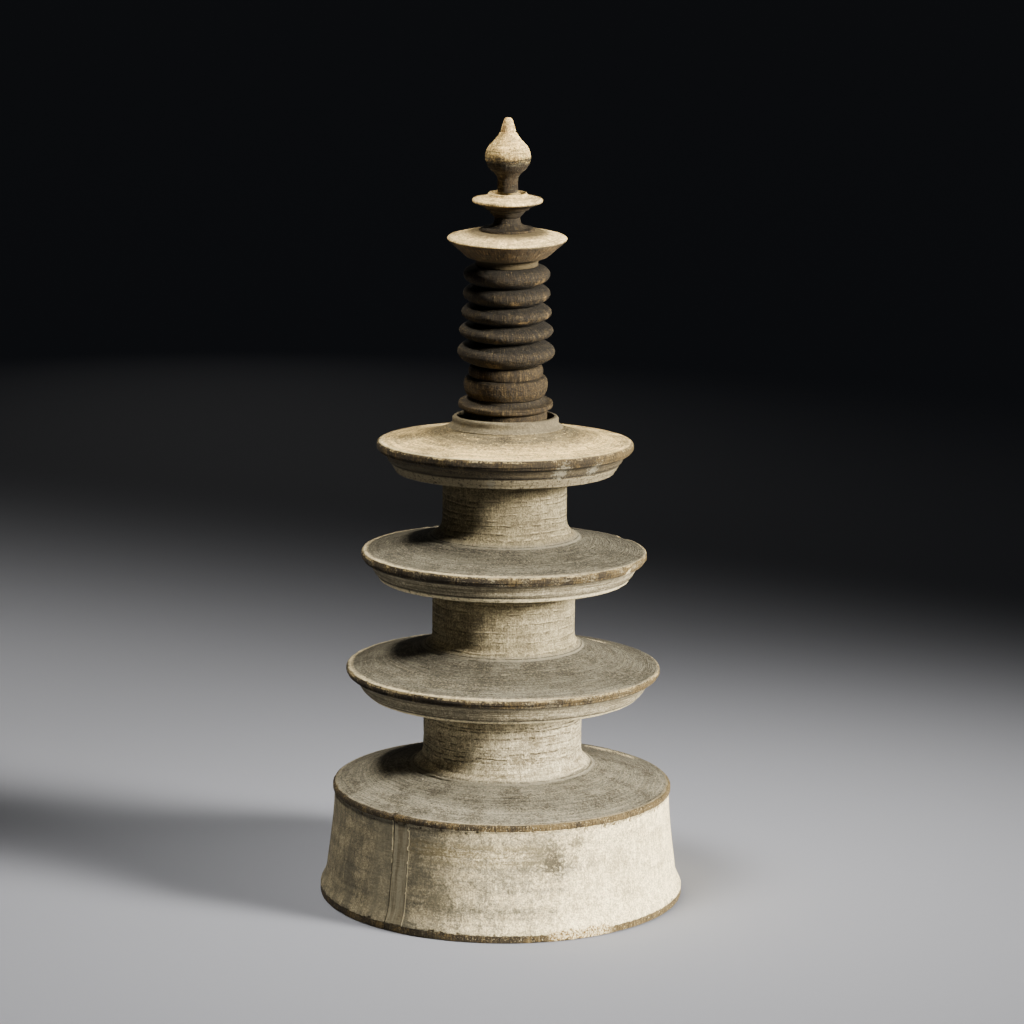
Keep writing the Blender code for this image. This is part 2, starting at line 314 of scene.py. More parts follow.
def trimmed(drawn, cut, at_start, at_end):
    """A drawn section with a little taken off the ends that meet a corner."""
    along = laid_out(drawn)
    cut = min(cut, MOST_TRIM * along[-1])
    low = cut if at_start else -1.0
    high = along[-1] - (cut if at_end else -1.0)
    kept = [point for point, s in zip(drawn, along) if low <= s <= high]
    return kept or [drawn[len(drawn) // 2]]


def arc_over(start, corner, end, count=6):
    """The small arc that takes a corner's sharpness off."""
    arc = []
    for i in range(1, count):
        t = i / count
        arc.append(tuple(
            a * (1 - t) ** 2 + b * 2 * t * (1 - t) + c * t * t
            for a, b, c in zip(start, corner, end)
        ))
    return arc


def grooved(points, grooves):
    """Sinks grooves and hollows in the outside. Each is (height, width, depth) in mm. A point
    whose radius is between half the bore's and the bore's may be the wall of the bore."""
    along = laid_out(points)
    cut = list(points)
    outside = [i for i, (r, _) in enumerate(points) if r > BORE_WALL or r < 0.5 * BORE_WALL]
    for height, width, depth in ((a * MM, b * MM, c * MM) for a, b, c in grooves):
        centre = along[min(outside, key=lambda i: abs(points[i][1] - height))]
        for i in range(1, len(points) - 1):
            share = 1.0 - abs(along[i] - centre) / (0.5 * width)
            if share > 0.0:
                sink = depth * share * share * (3.0 - 2.0 * share)
                dr, dz = (b - a for a, b in zip(points[i - 1], points[i + 1]))
                length = math.hypot(dr, dz)
                cut[i] = (cut[i][0] - dz / length * sink, cut[i][1] + dr / length * sink)
    return cut


def nosed(points):
    """A ring's edge drawn out to a blunt nose: the shoulders go in, the widest point stays."""
    widest = max(r for r, _ in points)
    root = min(r for r, _ in points if r > 0.5 * widest)
    return [
        (root + (widest - root) * ((r - root) / (widest - root)) ** RING_NOSE if r > root else r, z)
        for r, z in points
    ]


def fine_profile(node, softness, row_step, grooves=()):
    """Rows for the lathe, as (radius, height, nearness to a corner, distance along). They lie
    close at a corner, and far apart on a level underside and on the wall of the bore."""
    line, bored = PROFILES[node]
    line = with_finer_underside(node, line)
    sections = sections_of(node, with_axis_ends(lapped(node, line), bored))
    drawn = [
        trimmed(through_points(section), softness, i > 0, i < len(sections) - 1)
        for i, section in enumerate(sections)
    ]
    points, corners = list(drawn[0]), []
    for before, after, section in zip(drawn, drawn[1:], sections[1:]):
        arc = arc_over(before[-1], section[0], after[0])
        corners.append(len(points) + len(arc) // 2)
        points += arc + after
    if node.startswith("ring"):
        points = nosed(points)
    along = laid_out(points)
    points = grooved(points, grooves)
    corner_places = [along[index] for index in corners]
    rows = []
    for i, (r, z) in enumerate(points):
        near = max([0.0] + [1.0 - abs(along[i] - s) / EDGE_REACH for s in corner_places])
        dr, dz = (b - a for a, b in zip(points[max(0, i - 1)], points[min(len(points) - 1, i + 1)]))
        level_or_bore = dr > LEVEL_SLOPE * abs(dz) or dz < -LEVEL_SLOPE * abs(dr)
        step = CORNER_STEP if near > NEAR_CORNER else row_step
        if near == 0.0 and level_or_bore:
            step = UNSEEN_STEP
        if not rows or along[i] - rows[-1][3] >= step or i == len(points) - 1:
            rows.append((max(0.0, r), z, near, along[i]))
    return rows


for node in ("base", "second_roof", "ring_3"):
    rows = fine_profile(node, 0.35 * MM, 0.4 * MM)
    print(f"{node}: {len(rows)} rows, {rows[-1][3] / MM:.0f} mm of profile")
# %% [markdown]
# ## A small helper for node trees
#
# The lathe and every finish are node trees, and both kinds of tree share their maths, noise and
# mixing nodes. Building a tree node by node takes four lines for each: add it, set it, feed it,
# join it. This helper does the four at once, so that a tree reads like a formula.


# %% The helper
class Wiring:
    """Adds nodes to a tree. A value is a number, a colour, or another node's output."""

    def __init__(self, tree):
        self.tree = tree

    def feed(self, socket, value):
        if isinstance(value, bpy.types.NodeSocket):
            self.tree.links.new(value, socket)
        elif value is not None:
            socket.default_value = value

    def node(self, kind, *values, out=0, **settings):
        made = self.tree.nodes.new(kind)
        named = {}
        for name, value in settings.items():
            if hasattr(made, name):
                setattr(made, name, value)
            else:
                named[name.replace("_", " ").title()] = value
        for socket, value in zip(made.inputs, values):
            self.feed(socket, value)
        for name, value in named.items():
            self.feed(made.inputs[name], value)
        return made.outputs[out]

    def math(self, operation, *values):
        return self.node("ShaderNodeMath", *values, operation=operation)

    def vector_math(self, operation, *values, out=0):
        return self.node("ShaderNodeVectorMath", *values, operation=operation, out=out)

    def plus(self, a, b):
        return self.math("ADD", a, b)

    def minus(self, a, b):
        return self.math("SUBTRACT", a, b)

    def times(self, a, b):
        return self.math("MULTIPLY", a, b)

    def step(self, value, low, high):
        """Rises smoothly from 0 to 1 as value goes from low to high."""
        return self.node(
            "ShaderNodeMapRange", value, low, high, 0.0, 1.0, interpolation_type="SMOOTHSTEP"
        )

    def noise(self, vector, scale, detail=3.0, rough=0.55):
        """Cloudy noise about 0.5, in a space that vector gives and scale divides."""
        return self.node(
            "ShaderNodeTexNoise", vector, None, scale, detail, rough, noise_dimensions="3D"
        )

    def vector(self, x=0.0, y=0.0, z=0.0):
        return self.node("ShaderNodeCombineXYZ", x, y, z)

    def parts(self, vector):
        split = self.tree.nodes.new("ShaderNodeSeparateXYZ")
        self.feed(split.inputs[0], vector)
        return split.outputs

    def from_axis(self, x, y):
        """The distance of a place from the axis that its member was turned on."""
        return self.math("SQRT", self.plus(self.times(x, x), self.times(y, y)))


print("helper ready:", ", ".join(name for name in vars(Wiring) if name[0] != "_"))

# %% [markdown]
# ## The lathe, as Geometry Nodes
#
# Every member follows one rule: its profile is spun about the axis, and then age takes a little
# off. The Screw modifier could do the spinning. Geometry Nodes do it here, because the same tree
# can also lay the wear down as it goes: a slow wobble, since old wood shrinks out of round, tool
# marks that run round with the chisel, shallow lumps under the ground, chips along the edges, and
# on the base one split with a strip of lost ground beside it. All wear goes inwards, so a member
# never grows past its solid. What the tree took off is also kept as attributes of the mesh, for
# the finish to read: dirt lies where the tool marks are deep, and wood shows where ground is lost.

# %% The lathe's inputs
FAR_BELOW = (0.0, 0.0, -1.0)
LATHE_INPUTS = {
    "Columns": 180, "Seed": 1.0, "Lean": 0.0, "Pivot height": 0.0, "Wobble": 0.1 * MM,
    "Tool mark depth": 0.05 * MM, "Tool mark pitch": 1.0 * MM,
    "Lump depth": 0.05 * MM, "Lump size": 4.0 * MM,
    "Chip depth": 0.2 * MM, "Chip size": 2.0 * MM, "Chip share": 0.4,
    "Bite place": FAR_BELOW, "Bite size": 3.0 * MM, "Bite depth": 0.0,
    "Split angle": 0.0, "Split lean": 0.0, "Split depth": 0.0,
    "Strip width": 0.0, "Strip depth": 0.0,
}
SOCKET_KINDS = {int: "NodeSocketInt", float: "NodeSocketFloat", tuple: "NodeSocketVector"}


def new_lathe_tree():
    tree = bpy.data.node_groups.new("lathe", "GeometryNodeTree")
    tree.interface.new_socket("Geometry", in_out="OUTPUT", socket_type="NodeSocketGeometry")
    tree.interface.new_socket("Profile", in_out="INPUT", socket_type="NodeSocketGeometry")
    for name, default in LATHE_INPUTS.items():
        kind = SOCKET_KINDS[type(default)]
        tree.interface.new_socket(name, in_out="INPUT", socket_type=kind).default_value = default
    tree.interface.new_socket("Finish", in_out="INPUT", socket_type="NodeSocketMaterial")
    return tree


LATHE = new_lathe_tree()
print("lathe inputs:", len(LATHE_INPUTS))


# %% Spinning the profile
def own(w, name):
    """A number that is kept at every point of the mesh."""
    return w.node("GeometryNodeInputNamedAttribute", name, data_type="FLOAT")


def keeping(w, geometry, numbers):
    """Keeps numbers at every point of the mesh, under their names."""
    for name, value in numbers.items():
        geometry = w.node(
            "GeometryNodeStoreNamedAttribute", geometry, None, name, value,
            data_type="FLOAT", domain="POINT",
        )
    return geometry


def spun_grid(w, given):
    """A grid whose rows take their place from the profile's points and whose columns go round."""
    rows = w.node("GeometryNodeAttributeDomainSize", given["Profile"], component="MESH")
    grid = w.node("GeometryNodeMeshGrid", 1.0, 1.0, w.plus(given["Columns"], 1.0), rows)
    corner = w.parts(w.node("GeometryNodeInputPosition"))
    row = w.math("ROUND", w.times(w.plus(corner[1], 0.5), w.minus(rows, 1.0)))
    angle = w.times(w.plus(corner[0], 0.5), 2.0 * math.pi)

    def from_profile(kind, value):
        return w.node(
            "GeometryNodeSampleIndex", given["Profile"], value, row, data_type=kind, domain="POINT"
        )

    radius, _, height = w.parts(from_profile("FLOAT_VECTOR", w.node("GeometryNodeInputPosition")))
    place = w.vector(
        w.times(radius, w.math("COSINE", angle)), w.times(radius, w.math("SINE", angle)), height
    )
    kept = {name: from_profile("FLOAT", own(w, name)) for name in ("edge_line", "along")}
    kept["spin_angle"] = angle
    return w.node("GeometryNodeSetPosition", keeping(w, grid, kept), None, place)


print("the grid is spun from the profile's points")


# %% Wear that any member can have
class Wear(Wiring):
    """The wiring of wear. Each mask is a number from 0 to 1 at every point of a member."""

    def __init__(self, tree, given):
        super().__init__(tree)
        self.given = given
        self.place = self.node("GeometryNodeInputPosition")
        x, y, self.z = self.parts(self.place)
        self.radius = self.from_axis(x, y)
        self.angle = own(self, "spin_angle")
        seed = given["Seed"]
        self.shift = self.vector(seed, self.times(seed, 1.7), self.times(seed, 0.6))

    def seeded(self, vector, *settings):
        """Noise that is different on every member."""
        return self.noise(self.vector_math("ADD", vector, self.shift), *settings)

    def rough(self, vector, size, detail=3.0):
        """Noise with lumps of a size."""
        share = self.vector_math("DIVIDE", vector, self.vector(size, size, size))
        return self.seeded(share, 1.0, detail)

    def round_it(self, share, height=0.0):
        """A place on a circle of that radius, in step with the place on the member."""
        across = self.times(self.math("COSINE", self.angle), share)
        return self.vector(across, self.times(self.math("SINE", self.angle), share), height)

    def wobble(self):
        """How far the wood has shrunk out of round. The middle of a disc stays."""
        swing = self.times(self.seeded(self.round_it(1.0), 0.8, 1.0), self.given["Wobble"])
        return self.times(swing, self.step(self.radius, 0.0, 8.0 * MM))

    def tool_marks(self):
        turns = self.math("DIVIDE", own(self, "along"), self.given["Tool mark pitch"])
        return self.step(self.seeded(self.round_it(0.35, turns), 1.0, 2.0, 0.6), 0.42, 0.68)

    def lumps(self):
        return self.rough(self.place, self.given["Lump size"])

    def chips(self):
        """Chips along the corners of the profile; a larger share makes more of them."""
        line = self.minus(1.0, self.times(self.given["Chip share"], 0.5))
        noise = self.rough(self.place, self.given["Chip size"], 4.0)
        chips = self.step(noise, self.minus(line, 0.32), self.minus(line, 0.18))
        return self.times(chips, self.step(own(self, "edge_line"), 0.1, 0.7))

    def bite(self):
        """One ragged hollow about the bite's place."""
        size = self.given["Bite size"]
        away = self.vector_math("DISTANCE", self.place, self.given["Bite place"], out=1)
        ragged = self.times(self.minus(self.rough(self.place, 1.2 * MM), 0.5), size)
        return self.minus(1.0, self.step(self.plus(away, ragged), self.times(size, 0.55), size))


print("wear:", ", ".join(name for name in vars(Wear) if name[0] != "_"))

# %% The split of the base, and the wear as a whole
BASE_SIDE = (44.0 * MM, 46.5 * MM)
SPLIT_HALF = (0.15 * MM, 0.62 * MM)
SPLIT_WANDER = 0.9 * MM
STRIP_FRAY = 1.6 * MM
STRIP_BORDER = 0.3 * MM


def split_and_strip(w, given):
    """The split, a line down the side that wanders a little, and the strip to the right of it.
    Aside is the distance from the split, round the member."""
    wander = w.times(w.minus(w.rough(w.vector(0.0, 0.0, w.z), 5.0 * MM), 0.5), SPLIT_WANDER)
    line_angle = w.plus(given["Split angle"], w.times(w.z, given["Split lean"]))
    aside = w.plus(w.times(w.minus(w.angle, line_angle), w.radius), wander)
    has_split = w.step(given["Split depth"], 0.0, SAME_SIZE)
    side = w.times(w.step(w.radius, *BASE_SIDE), has_split)
    split = w.times(w.minus(1.0, w.step(w.math("ABSOLUTE", aside), *SPLIT_HALF)), side)
    frayed = w.times(w.minus(w.rough(w.place, STRIP_FRAY, 4.0), 0.5), STRIP_FRAY)
    strip_end = w.plus(given["Strip width"], frayed)
    inside = w.minus(1.0, w.step(aside, w.minus(strip_end, STRIP_BORDER), strip_end))
    return split, w.times(w.times(w.step(aside, 0.0, STRIP_BORDER), inside), side)


def worn(w, given, spun):
    """The spun member with all its wear taken off inwards, and the masks kept on it."""
    marks, chips, bite = w.tool_marks(), w.chips(), w.bite()
    split, strip = split_and_strip(w, given)
    depth = w.wobble()
    for mask, kind in (
        (marks, "Tool mark"), (w.lumps(), "Lump"), (chips, "Chip"),
        (bite, "Bite"), (split, "Split"), (strip, "Strip"),
    ):
        depth = w.plus(depth, w.times(mask, given[kind + " depth"]))
    lost = w.math("MAXIMUM", chips, bite)
    masks = {"tool_mark": marks, "lost_ground": lost, "bare_strip": strip, "split": split}
    normal = w.node("GeometryNodeInputNormal")
    inwards = w.vector_math("SCALE", normal, None, None, w.times(depth, -1.0))
    return w.node("GeometryNodeSetPosition", keeping(w, spun, masks), None, None, inwards)


print("the split wanders by up to", SPLIT_WANDER / MM / 2.0, "mm")

# %% The whole tree
AXIS_GAP = 0.001 * MM


def fill_lathe_tree(tree):
    source = tree.nodes.new("NodeGroupInput")
    given = {socket.name: socket for socket in source.outputs if socket.name}
    w = Wear(tree, given)
    closed = w.node("GeometryNodeMergeByDistance", spun_grid(w, given), None, AXIS_GAP)
    leaning = w.node(
        "GeometryNodeTransform", worn(w, given, closed),
        translation=w.vector(0.0, 0.0, given["Pivot height"]),
        rotation=w.vector(given["Lean"], 0.0, 0.0),
    )
    soft = w.node("GeometryNodeSetShadeSmooth", leaning)
    real = w.node("GeometryNodeRealizeInstances", soft)
    done = w.node("GeometryNodeSetMaterial", real, None, given["Finish"])
    w.feed(tree.nodes.new("NodeGroupOutput").inputs[0], done)


fill_lathe_tree(LATHE)
print("lathe nodes:", len(LATHE.nodes))


# %% Turning one member
def blank_for(node, rows):
    """The profile as an object of edges, with the numbers that the lathe reads at its points."""
    line = bpy.data.meshes.new(node + "_profile")
    edges = [(i, i + 1) for i in range(len(rows) - 1)]
    line.from_pydata([(r, 0.0, z) for r, z, _, _ in rows], edges, [])
    for name, column in (("edge_line", 2), ("along", 3)):
        kept = line.attributes.new(name, "FLOAT", "POINT")
        kept.data.foreach_set("value", [row[column] for row in rows])
    blank = bpy.data.objects.new(node + "_blank", line)
    bpy.context.scene.collection.objects.link(blank)
    return blank


def turned(node, finish, softness, row_step, column_step, grooves=(), **wear):
    """Spins a member's profile in the lathe, and puts the plain mesh in its node's place."""
    rows = fine_profile(node, softness, row_step, grooves)
    blank = blank_for(node, rows)
    widest = max(row[0] for row in rows)
    on_finial = BODY_OF_NODE[node] == "finial"
    settings = {
        "Columns": round(2.0 * math.pi * widest / column_step),
        "Seed": float(len(node) + round(widest / MM) + rows[len(rows) // 2][1] / MM),
        "Lean": LEAN if on_finial else 0.0,
        "Pivot height": PIVOT_HEIGHT if on_finial else 0.0,
        "Finish": finish,
    }
    settings.update({name.replace("_", " ").capitalize(): value for name, value in wear.items()})
    modifier = blank.modifiers.new("lathe", "NODES")
    modifier.node_group = LATHE
    for item in LATHE.interface.items_tree:
        if item.in_out == "INPUT" and item.name in settings:
            modifier[item.identifier] = settings.pop(item.name)
    if settings:
        raise ValueError(f"the lathe has no input named {sorted(settings)}")
    ready = blank.evaluated_get(bpy.context.evaluated_depsgraph_get())
    mesh = bpy.data.meshes.new_from_object(ready)
    mesh.name = node + "_turned"
    blank.modifiers.remove(modifier)
    bpy.data.objects.remove(blank)
    piece = bpy.data.objects.new("turned_" + node, mesh)
    bpy.context.scene.collection.objects.link(piece)
    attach(piece, BODY_OF_NODE[node])
    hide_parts(node)
    triangles = sum(len(face.vertices) - 2 for face in mesh.polygons)
    print(f"{piece.name}: {len(mesh.vertices)} points, {triangles} triangles")
    return piece


print("turned() makes a member's piece from its profile")

# %% [markdown]
# ## How a finish is built
#
# All the finishes on this object come from the same few things: brushed ground, bare wood, dust,
# lines left by the chisel, grain and stains, with painted light and shade in a few places. Each is
# a mask, a number from 0 to 1 that says where it is, and a colour to lay there. An image painted on
# the mesh would do the same for one view, but masks made from the place on the object hold from
# every side and at any distance.
#
# The class below adds what a turned object needs to the helper: the radius, the height and the
# direction of a point as seen from the axis, noise stretched round the member for chisel lines,
# and noise stretched up it for grain. All its sizes are in mm.


# %% Paints
def paint(red, green, blue):
    """A colour as a paint chart gives it, 0 to 255, made linear for the shader."""
    linear = [
        part / 255 / 12.92 if part <= 10 else ((part / 255 + 0.055) / 1.055) ** 2.4
        for part in (red, green, blue)
    ]
    return (*linear, 1.0)


WHITE_GROUND = paint(244, 227, 180)
CREAM_GROUND = paint(218, 201, 158)
THIN_GROUND = paint(154, 146, 121)
OLIVE_FILM = paint(94, 88, 69)
GREY_DUST = paint(120, 115, 99)
DARK_DUST = paint(74, 70, 58)
GOLD_WOOD = paint(122, 106, 68)
BARE_WOOD = paint(74, 64, 42)
DARK_WOOD = paint(46, 39, 27)
SOOT = paint(27, 23, 17)
print("white ground as the shader has it:", [round(part, 2) for part in WHITE_GROUND[:3]])

# %% Masks and coordinates of a turned member
NO_LIMIT = 99.0


def profile_in_mm(node):
    return [(r / MM, z / MM) for r, z in PROFILES[node][0]]


def landmarks(node):
    """A member's widest radius, and the lowest and highest point of its rim there."""
    line = profile_in_mm(node)
    widest = max(r for r, _ in line)
    rim = [z for r, z in line if r > widest - SAME_SIZE / MM]
    return widest, min(rim), max(rim)


class Finish(Wiring):
    """The wiring of one material, with the coordinates and masks of a turned member, in mm."""

    def __init__(self, node, seed):
        self.material = bpy.data.materials.new(node + "_finish")
        self.material.use_nodes = True
        super().__init__(self.material.node_tree)
        self.tree.nodes.clear()
        on_finial = BODY_OF_NODE[node] == "finial"
        lean = LEAN if on_finial else 0.0
        pivot = Vector((0.0, 0.0, PIVOT_HEIGHT / MM if on_finial else 0.0))
        pivot.rotate(Matrix.Rotation(-lean, 3, "X"))
        self.place = self.node(
            "ShaderNodeMapping", self.node("ShaderNodeTexCoord", out=3),
            tuple(-pivot), (-lean, 0.0, 0.0), (1.0 / MM, 1.0 / MM, 1.0 / MM),
        )
        self.x, self.y, self.z = self.parts(self.place)
        self.radius = self.from_axis(self.x, self.y)
        self.compass = self.vector_math("NORMALIZE", self.vector(self.x, self.y, 0.0))
        self.right, self.back, _ = self.parts(self.compass)
        self.reach, self.rim_low, self.rim_high = landmarks(node)
        self.along = self.times(self.own("along"), 1.0 / MM)
        self.seed = seed
        self.colour = None
        self.height = 0.0
        self.roughness = 0.9

    def own(self, name):
        """A number that the lathe left on the mesh."""
        return self.node("ShaderNodeAttribute", out=2, attribute_name=name)

    def shifted(self, vector, key, size):
        away = (self.seed + key * 0.37) * size * 11.0
        return self.vector_math("ADD", vector, (away, -away, away * 0.6))

    def clouds(self, size, detail=3.0, rough=0.55, key=0):
        """Noise with blots of about that size in every direction."""
        return self.noise(self.shifted(self.place, key, size), 1.0 / size, detail, rough)

    def stretched(self, round_it, up_it, detail, rough, key):
        x, y, _ = self.parts(self.vector_math("SCALE", self.compass, None, None, round_it))
        sheet = self.vector(x, y, self.times(self.along, up_it))
        return self.noise(self.shifted(sheet, key, 1.0), 1.0, detail, rough)

    def lines(self, pitch, hold=1.0, detail=2.0, rough=0.6, key=0):
        """Noise in lines that run round the member; a larger hold keeps each line longer."""
        return self.stretched(1.0 / hold, 1.0 / pitch, detail, rough, key)

    def grain(self, width, length, detail=2.0, rough=0.6, key=0):
        """Noise in strokes that run up the member."""
        return self.stretched(self.reach / width, 1.0 / length, detail, rough, key)

    def both(self, first, *others):
        for mask in others:
            first = self.times(first, mask)
        return first

    def either(self, first, *others):
        for mask in others:
            first = self.math("MAXIMUM", first, mask)
        return first

    def but_not(self, mask, other):
        return self.times(mask, self.minus(1.0, other))

    def stray(self, noise, by):
        """Noise made into a distance of up to half of by, to either side."""
        return self.times(self.minus(noise, 0.5), by)

    def weighed(self, *layers):
        """Noises of several sizes, each with its weight, added up."""
        total = 0.0
        for noise, weight in layers:
            total = self.plus(total, self.times(noise, weight))
        return total

    def worn_through(self, low, high, *layers):
        """Weighed noises cut at a level, as wear cuts a coat: patches where the large noise is
        high, that break into specks at their borders."""
        return self.step(self.weighed(*layers), low, high)

    def between(self, value, low, high, soft, ragged=0.0, size=1.0):
        """1 where value is from low to high; the border is soft, and ragged by that much."""
        if ragged:
            value = self.plus(value, self.stray(self.clouds(size, 4.0, 0.6, 5), ragged * 2.0))
        rise = self.step(value, low - soft, low + soft)
        return self.but_not(rise, self.step(value, high - soft, high + soft))

    def blot(self, angle, height, size, breakup=1.0, radius=None):
        """A stain that is dense in its middle and breaks up outwards. The angle is in degrees
        to the right of the front. Without a radius it lies on the side."""
        turn = math.radians(angle)
        aim = (math.sin(turn), -math.cos(turn), 0.0)
        if radius is None:
            spot = self.vector_math("SCALE", aim, None, None, self.radius)
        else:
            spot = tuple(part * radius for part in aim)
        level = self.vector_math("SUBTRACT", self.place, (0.0, 0.0, height))
        away = self.times(self.vector_math("DISTANCE", level, spot, out=1), 1.0 / size)
        stray = self.stray(self.clouds(0.3 * size, 5.0, 0.75, 7), 2.6 * breakup)
        specks = self.stray(self.clouds(0.7, 4.0, 0.75, 21), 4.0 * breakup)
        return self.step(self.plus(self.plus(self.minus(1.35, away), stray), specks), 0.25, 0.95)

    def crack(self, start, end, width):
        """A line on a top between two places, each as to the right and to the back."""
        run = Vector(end) - Vector(start)
        length, run = run.length, run.normalized()
        to_right, to_back = self.minus(self.x, start[0]), self.minus(self.y, start[1])
        onward = self.plus(self.times(to_right, run.x), self.times(to_back, run.y))
        aside = self.minus(self.times(to_back, run.x), self.times(to_right, run.y))
        aside = self.plus(aside, self.stray(self.clouds(3.0, 3.0, 0.6, 25), 3.0))
        line = self.step(self.math("ABSOLUTE", aside), width, 0.4 * width)
        return self.both(line, self.between(onward, 0.0, length, 0.4))

    # What lays paint or relief on the surface.

    def mix(self, first, second, mask, blend="MIX"):
        made = self.tree.nodes.new("ShaderNodeMix")
        made.data_type, made.blend_type = "RGBA", blend
        for index, value in ((0, mask), (6, first), (7, second)):
            self.feed(made.inputs[index], value)
        return made.outputs[2]

    def lay(self, colour, mask, strength=1.0, relief=0.0):
        """Lays a colour where the mask says, with a relief that is negative for a hollow."""
        share = mask if strength == 1.0 else self.times(mask, strength)
        self.colour = self.mix(self.colour, colour, share)
        if relief:
            self.raise_by(mask, relief)

    def shade(self, low, high, value):
        """Darkens or lightens what is there, by a factor that slides with value from 0 to 1."""
        factor = self.plus(low, self.times(value, high - low))
        self.colour = self.mix(self.colour, self.vector(factor, factor, factor), 1.0, "MULTIPLY")

    def raise_by(self, mask, height):
        self.height = self.plus(self.height, self.times(mask, height))

    def grit(self, amount, size=0.42):
        """The sandy surface of old ground and old wood, in two sizes of grain."""
        fine, coarse = self.clouds(size, 3.0, 0.65, 1), self.clouds(4.0 * size, 4.0, 0.65, 2)
        self.shade(1.0 - 0.42 * amount, 1.0 + 0.24 * amount, self.step(fine, 0.42, 0.58))
        self.shade(1.0 - 0.22 * amount, 1.0 + 0.14 * amount, self.step(coarse, 0.4, 0.6))
        self.raise_by(fine, 0.2 * amount)
        self.raise_by(coarse, 0.3 * amount)

    def done(self, specular=0.3):
        """Closes the material with the shader and its bump."""
        shader = self.tree.nodes.new("ShaderNodeBsdfPrincipled")
        self.feed(shader.inputs["Base Color"], self.colour)
        shader.inputs["Roughness"].default_value = self.roughness
        shader.inputs["Specular IOR Level"].default_value = specular
        bump = self.tree.nodes.new("ShaderNodeBump")
        bump.inputs["Distance"].default_value = MM
        self.feed(bump.inputs["Height"], self.height)
        self.feed(shader.inputs["Normal"], bump.outputs[0])
        result = self.tree.nodes.new("ShaderNodeOutputMaterial")
        self.feed(result.inputs[0], shader.outputs[0])
        return self.material


print("first roof's rim:", [round(size, 1) for size in landmarks("first_roof")], "mm")

# %% [markdown]
# ## The layers that every finish shares
#
# Bare wood shows wherever the ground has gone, in short strokes of grain. Brushed ground is never
# one white: it is thick in clouds, thin in streaks, and full of specks where the pores of the wood
# show through. Each layer is a function here, so that the base, the walls and the roofs can lay
# them in their own order and amounts.

# %% Wood and ground
OLD_WOOD = (GOLD_WOOD, BARE_WOOD, DARK_WOOD)
EDGE_WOOD = (paint(96, 80, 48), paint(54, 45, 29), paint(30, 25, 17))


def bare_wood(f, woods=OLD_WOOD, stroke=0.26, golden=0.0, pale=0.5):
    """Weathered wood with strokes of grain. The golden number or mask makes more of it light."""
    light, middle, dark = woods
    strokes, fine = f.grain(stroke, 2.4, 3.0, 0.7), f.clouds(0.5, 4.0, 0.7, 11)
    patch = f.worn_through(0.0, 1.0, (f.clouds(5.0, 4.0, 0.6, 3), 0.6), (fine, 0.4), (golden, 0.1))
    colour = f.mix(middle, light, f.step(patch, 0.47, 0.6))
    colour = f.mix(colour, dark, f.times(f.step(strokes, 0.47, 0.6), 0.85))
    return f.mix(colour, CREAM_GROUND, f.times(f.step(strokes, 0.4, 0.3), pale))


def brushed_ground(f, white, cream, thin, bare, loss=0.0):
    """The ground coat. A loss of 0.05, as a number or a mask, wears twice as much of it thin."""
    wide, middle = f.clouds(11.0, 4.0, 0.6), f.clouds(3.0, 4.0, 0.65)
    fine, smear = f.clouds(0.8, 5.0, 0.8), f.lines(2.0, 0.8, 4.0, 0.65)
    field = f.weighed((wide, 0.24), (smear, 0.22), (fine, 0.38), (middle, 0.16), (loss, 1.0))
    f.colour = f.mix(white, cream, f.step(field, 0.44, 0.5))
    f.lay(thin, f.step(field, 0.49, 0.56), 0.85, -0.08)
    f.lay(bare, f.step(field, 0.55, 0.62), 0.8, -0.08)
    pores = f.step(f.clouds(0.4, 2.0, 0.6, 12), 0.6, 0.7)
    f.lay(bare, pores, 0.5, -0.2)
    brush = f.grain(0.5, 9.0, 3.0, 0.6)
    f.shade(0.84, 1.12, f.step(brush, 0.3, 0.7))
    f.raise_by(brush, 0.06)
    f.raise_by(middle, 0.35)
    f.raise_by(fine, 0.4)
    f.grit(0.85)


# %% The dust of a top
def dust_with_back_shade(f, arcs, light, dark, pale, pale_share, painted_shade, painted_shade_share):
    """Grey dust, dark in clouds and pale in specks, and darkened with painted shade by the last mask."""
    wide, fine = f.clouds(8.0, 4.0, 0.6, 2), f.clouds(0.8, 4.0, 0.75, 3)
    specks = f.worn_through(0.53, 0.6, (arcs, 0.25), (f.clouds(0.6, 4.0, 0.75, 9), 0.75))
    dust = f.mix(light, dark, f.worn_through(0.46, 0.58, (wide, 0.4), (fine, 0.4), (arcs, 0.2)))
    dust = f.mix(dust, pale, f.times(specks, pale_share))
    return f.mix(dust, painted_shade, painted_shade_share)


def speckled_dust(f, where):
    """Fine specks and short scratches in the dust that lies on a top."""
    speck, stray = f.clouds(0.5, 3.0, 0.7, 18), f.clouds(1.6, 4.0, 0.7, 19)
    arcs = f.lines(0.7, 0.35, 3.0, 0.7, 24)
    specks = f.worn_through(0.45, 0.55, (speck, 0.4), (stray, 0.2), (arcs, 0.4))
    f.shade(1.0, 0.7, f.both(where, specks))
    f.shade(1.0, 1.28, f.but_not(where, specks))
    f.raise_by(f.both(where, specks), -0.12)
    scratches = f.step(f.lines(0.45, 0.25, 2.0, 0.6, 20), 0.62, 0.68)
    f.lay(THIN_GROUND, f.both(where, scratches, f.step(stray, 0.5, 0.55)), 0.6)


print("layers: bare wood, brushed ground, dust")
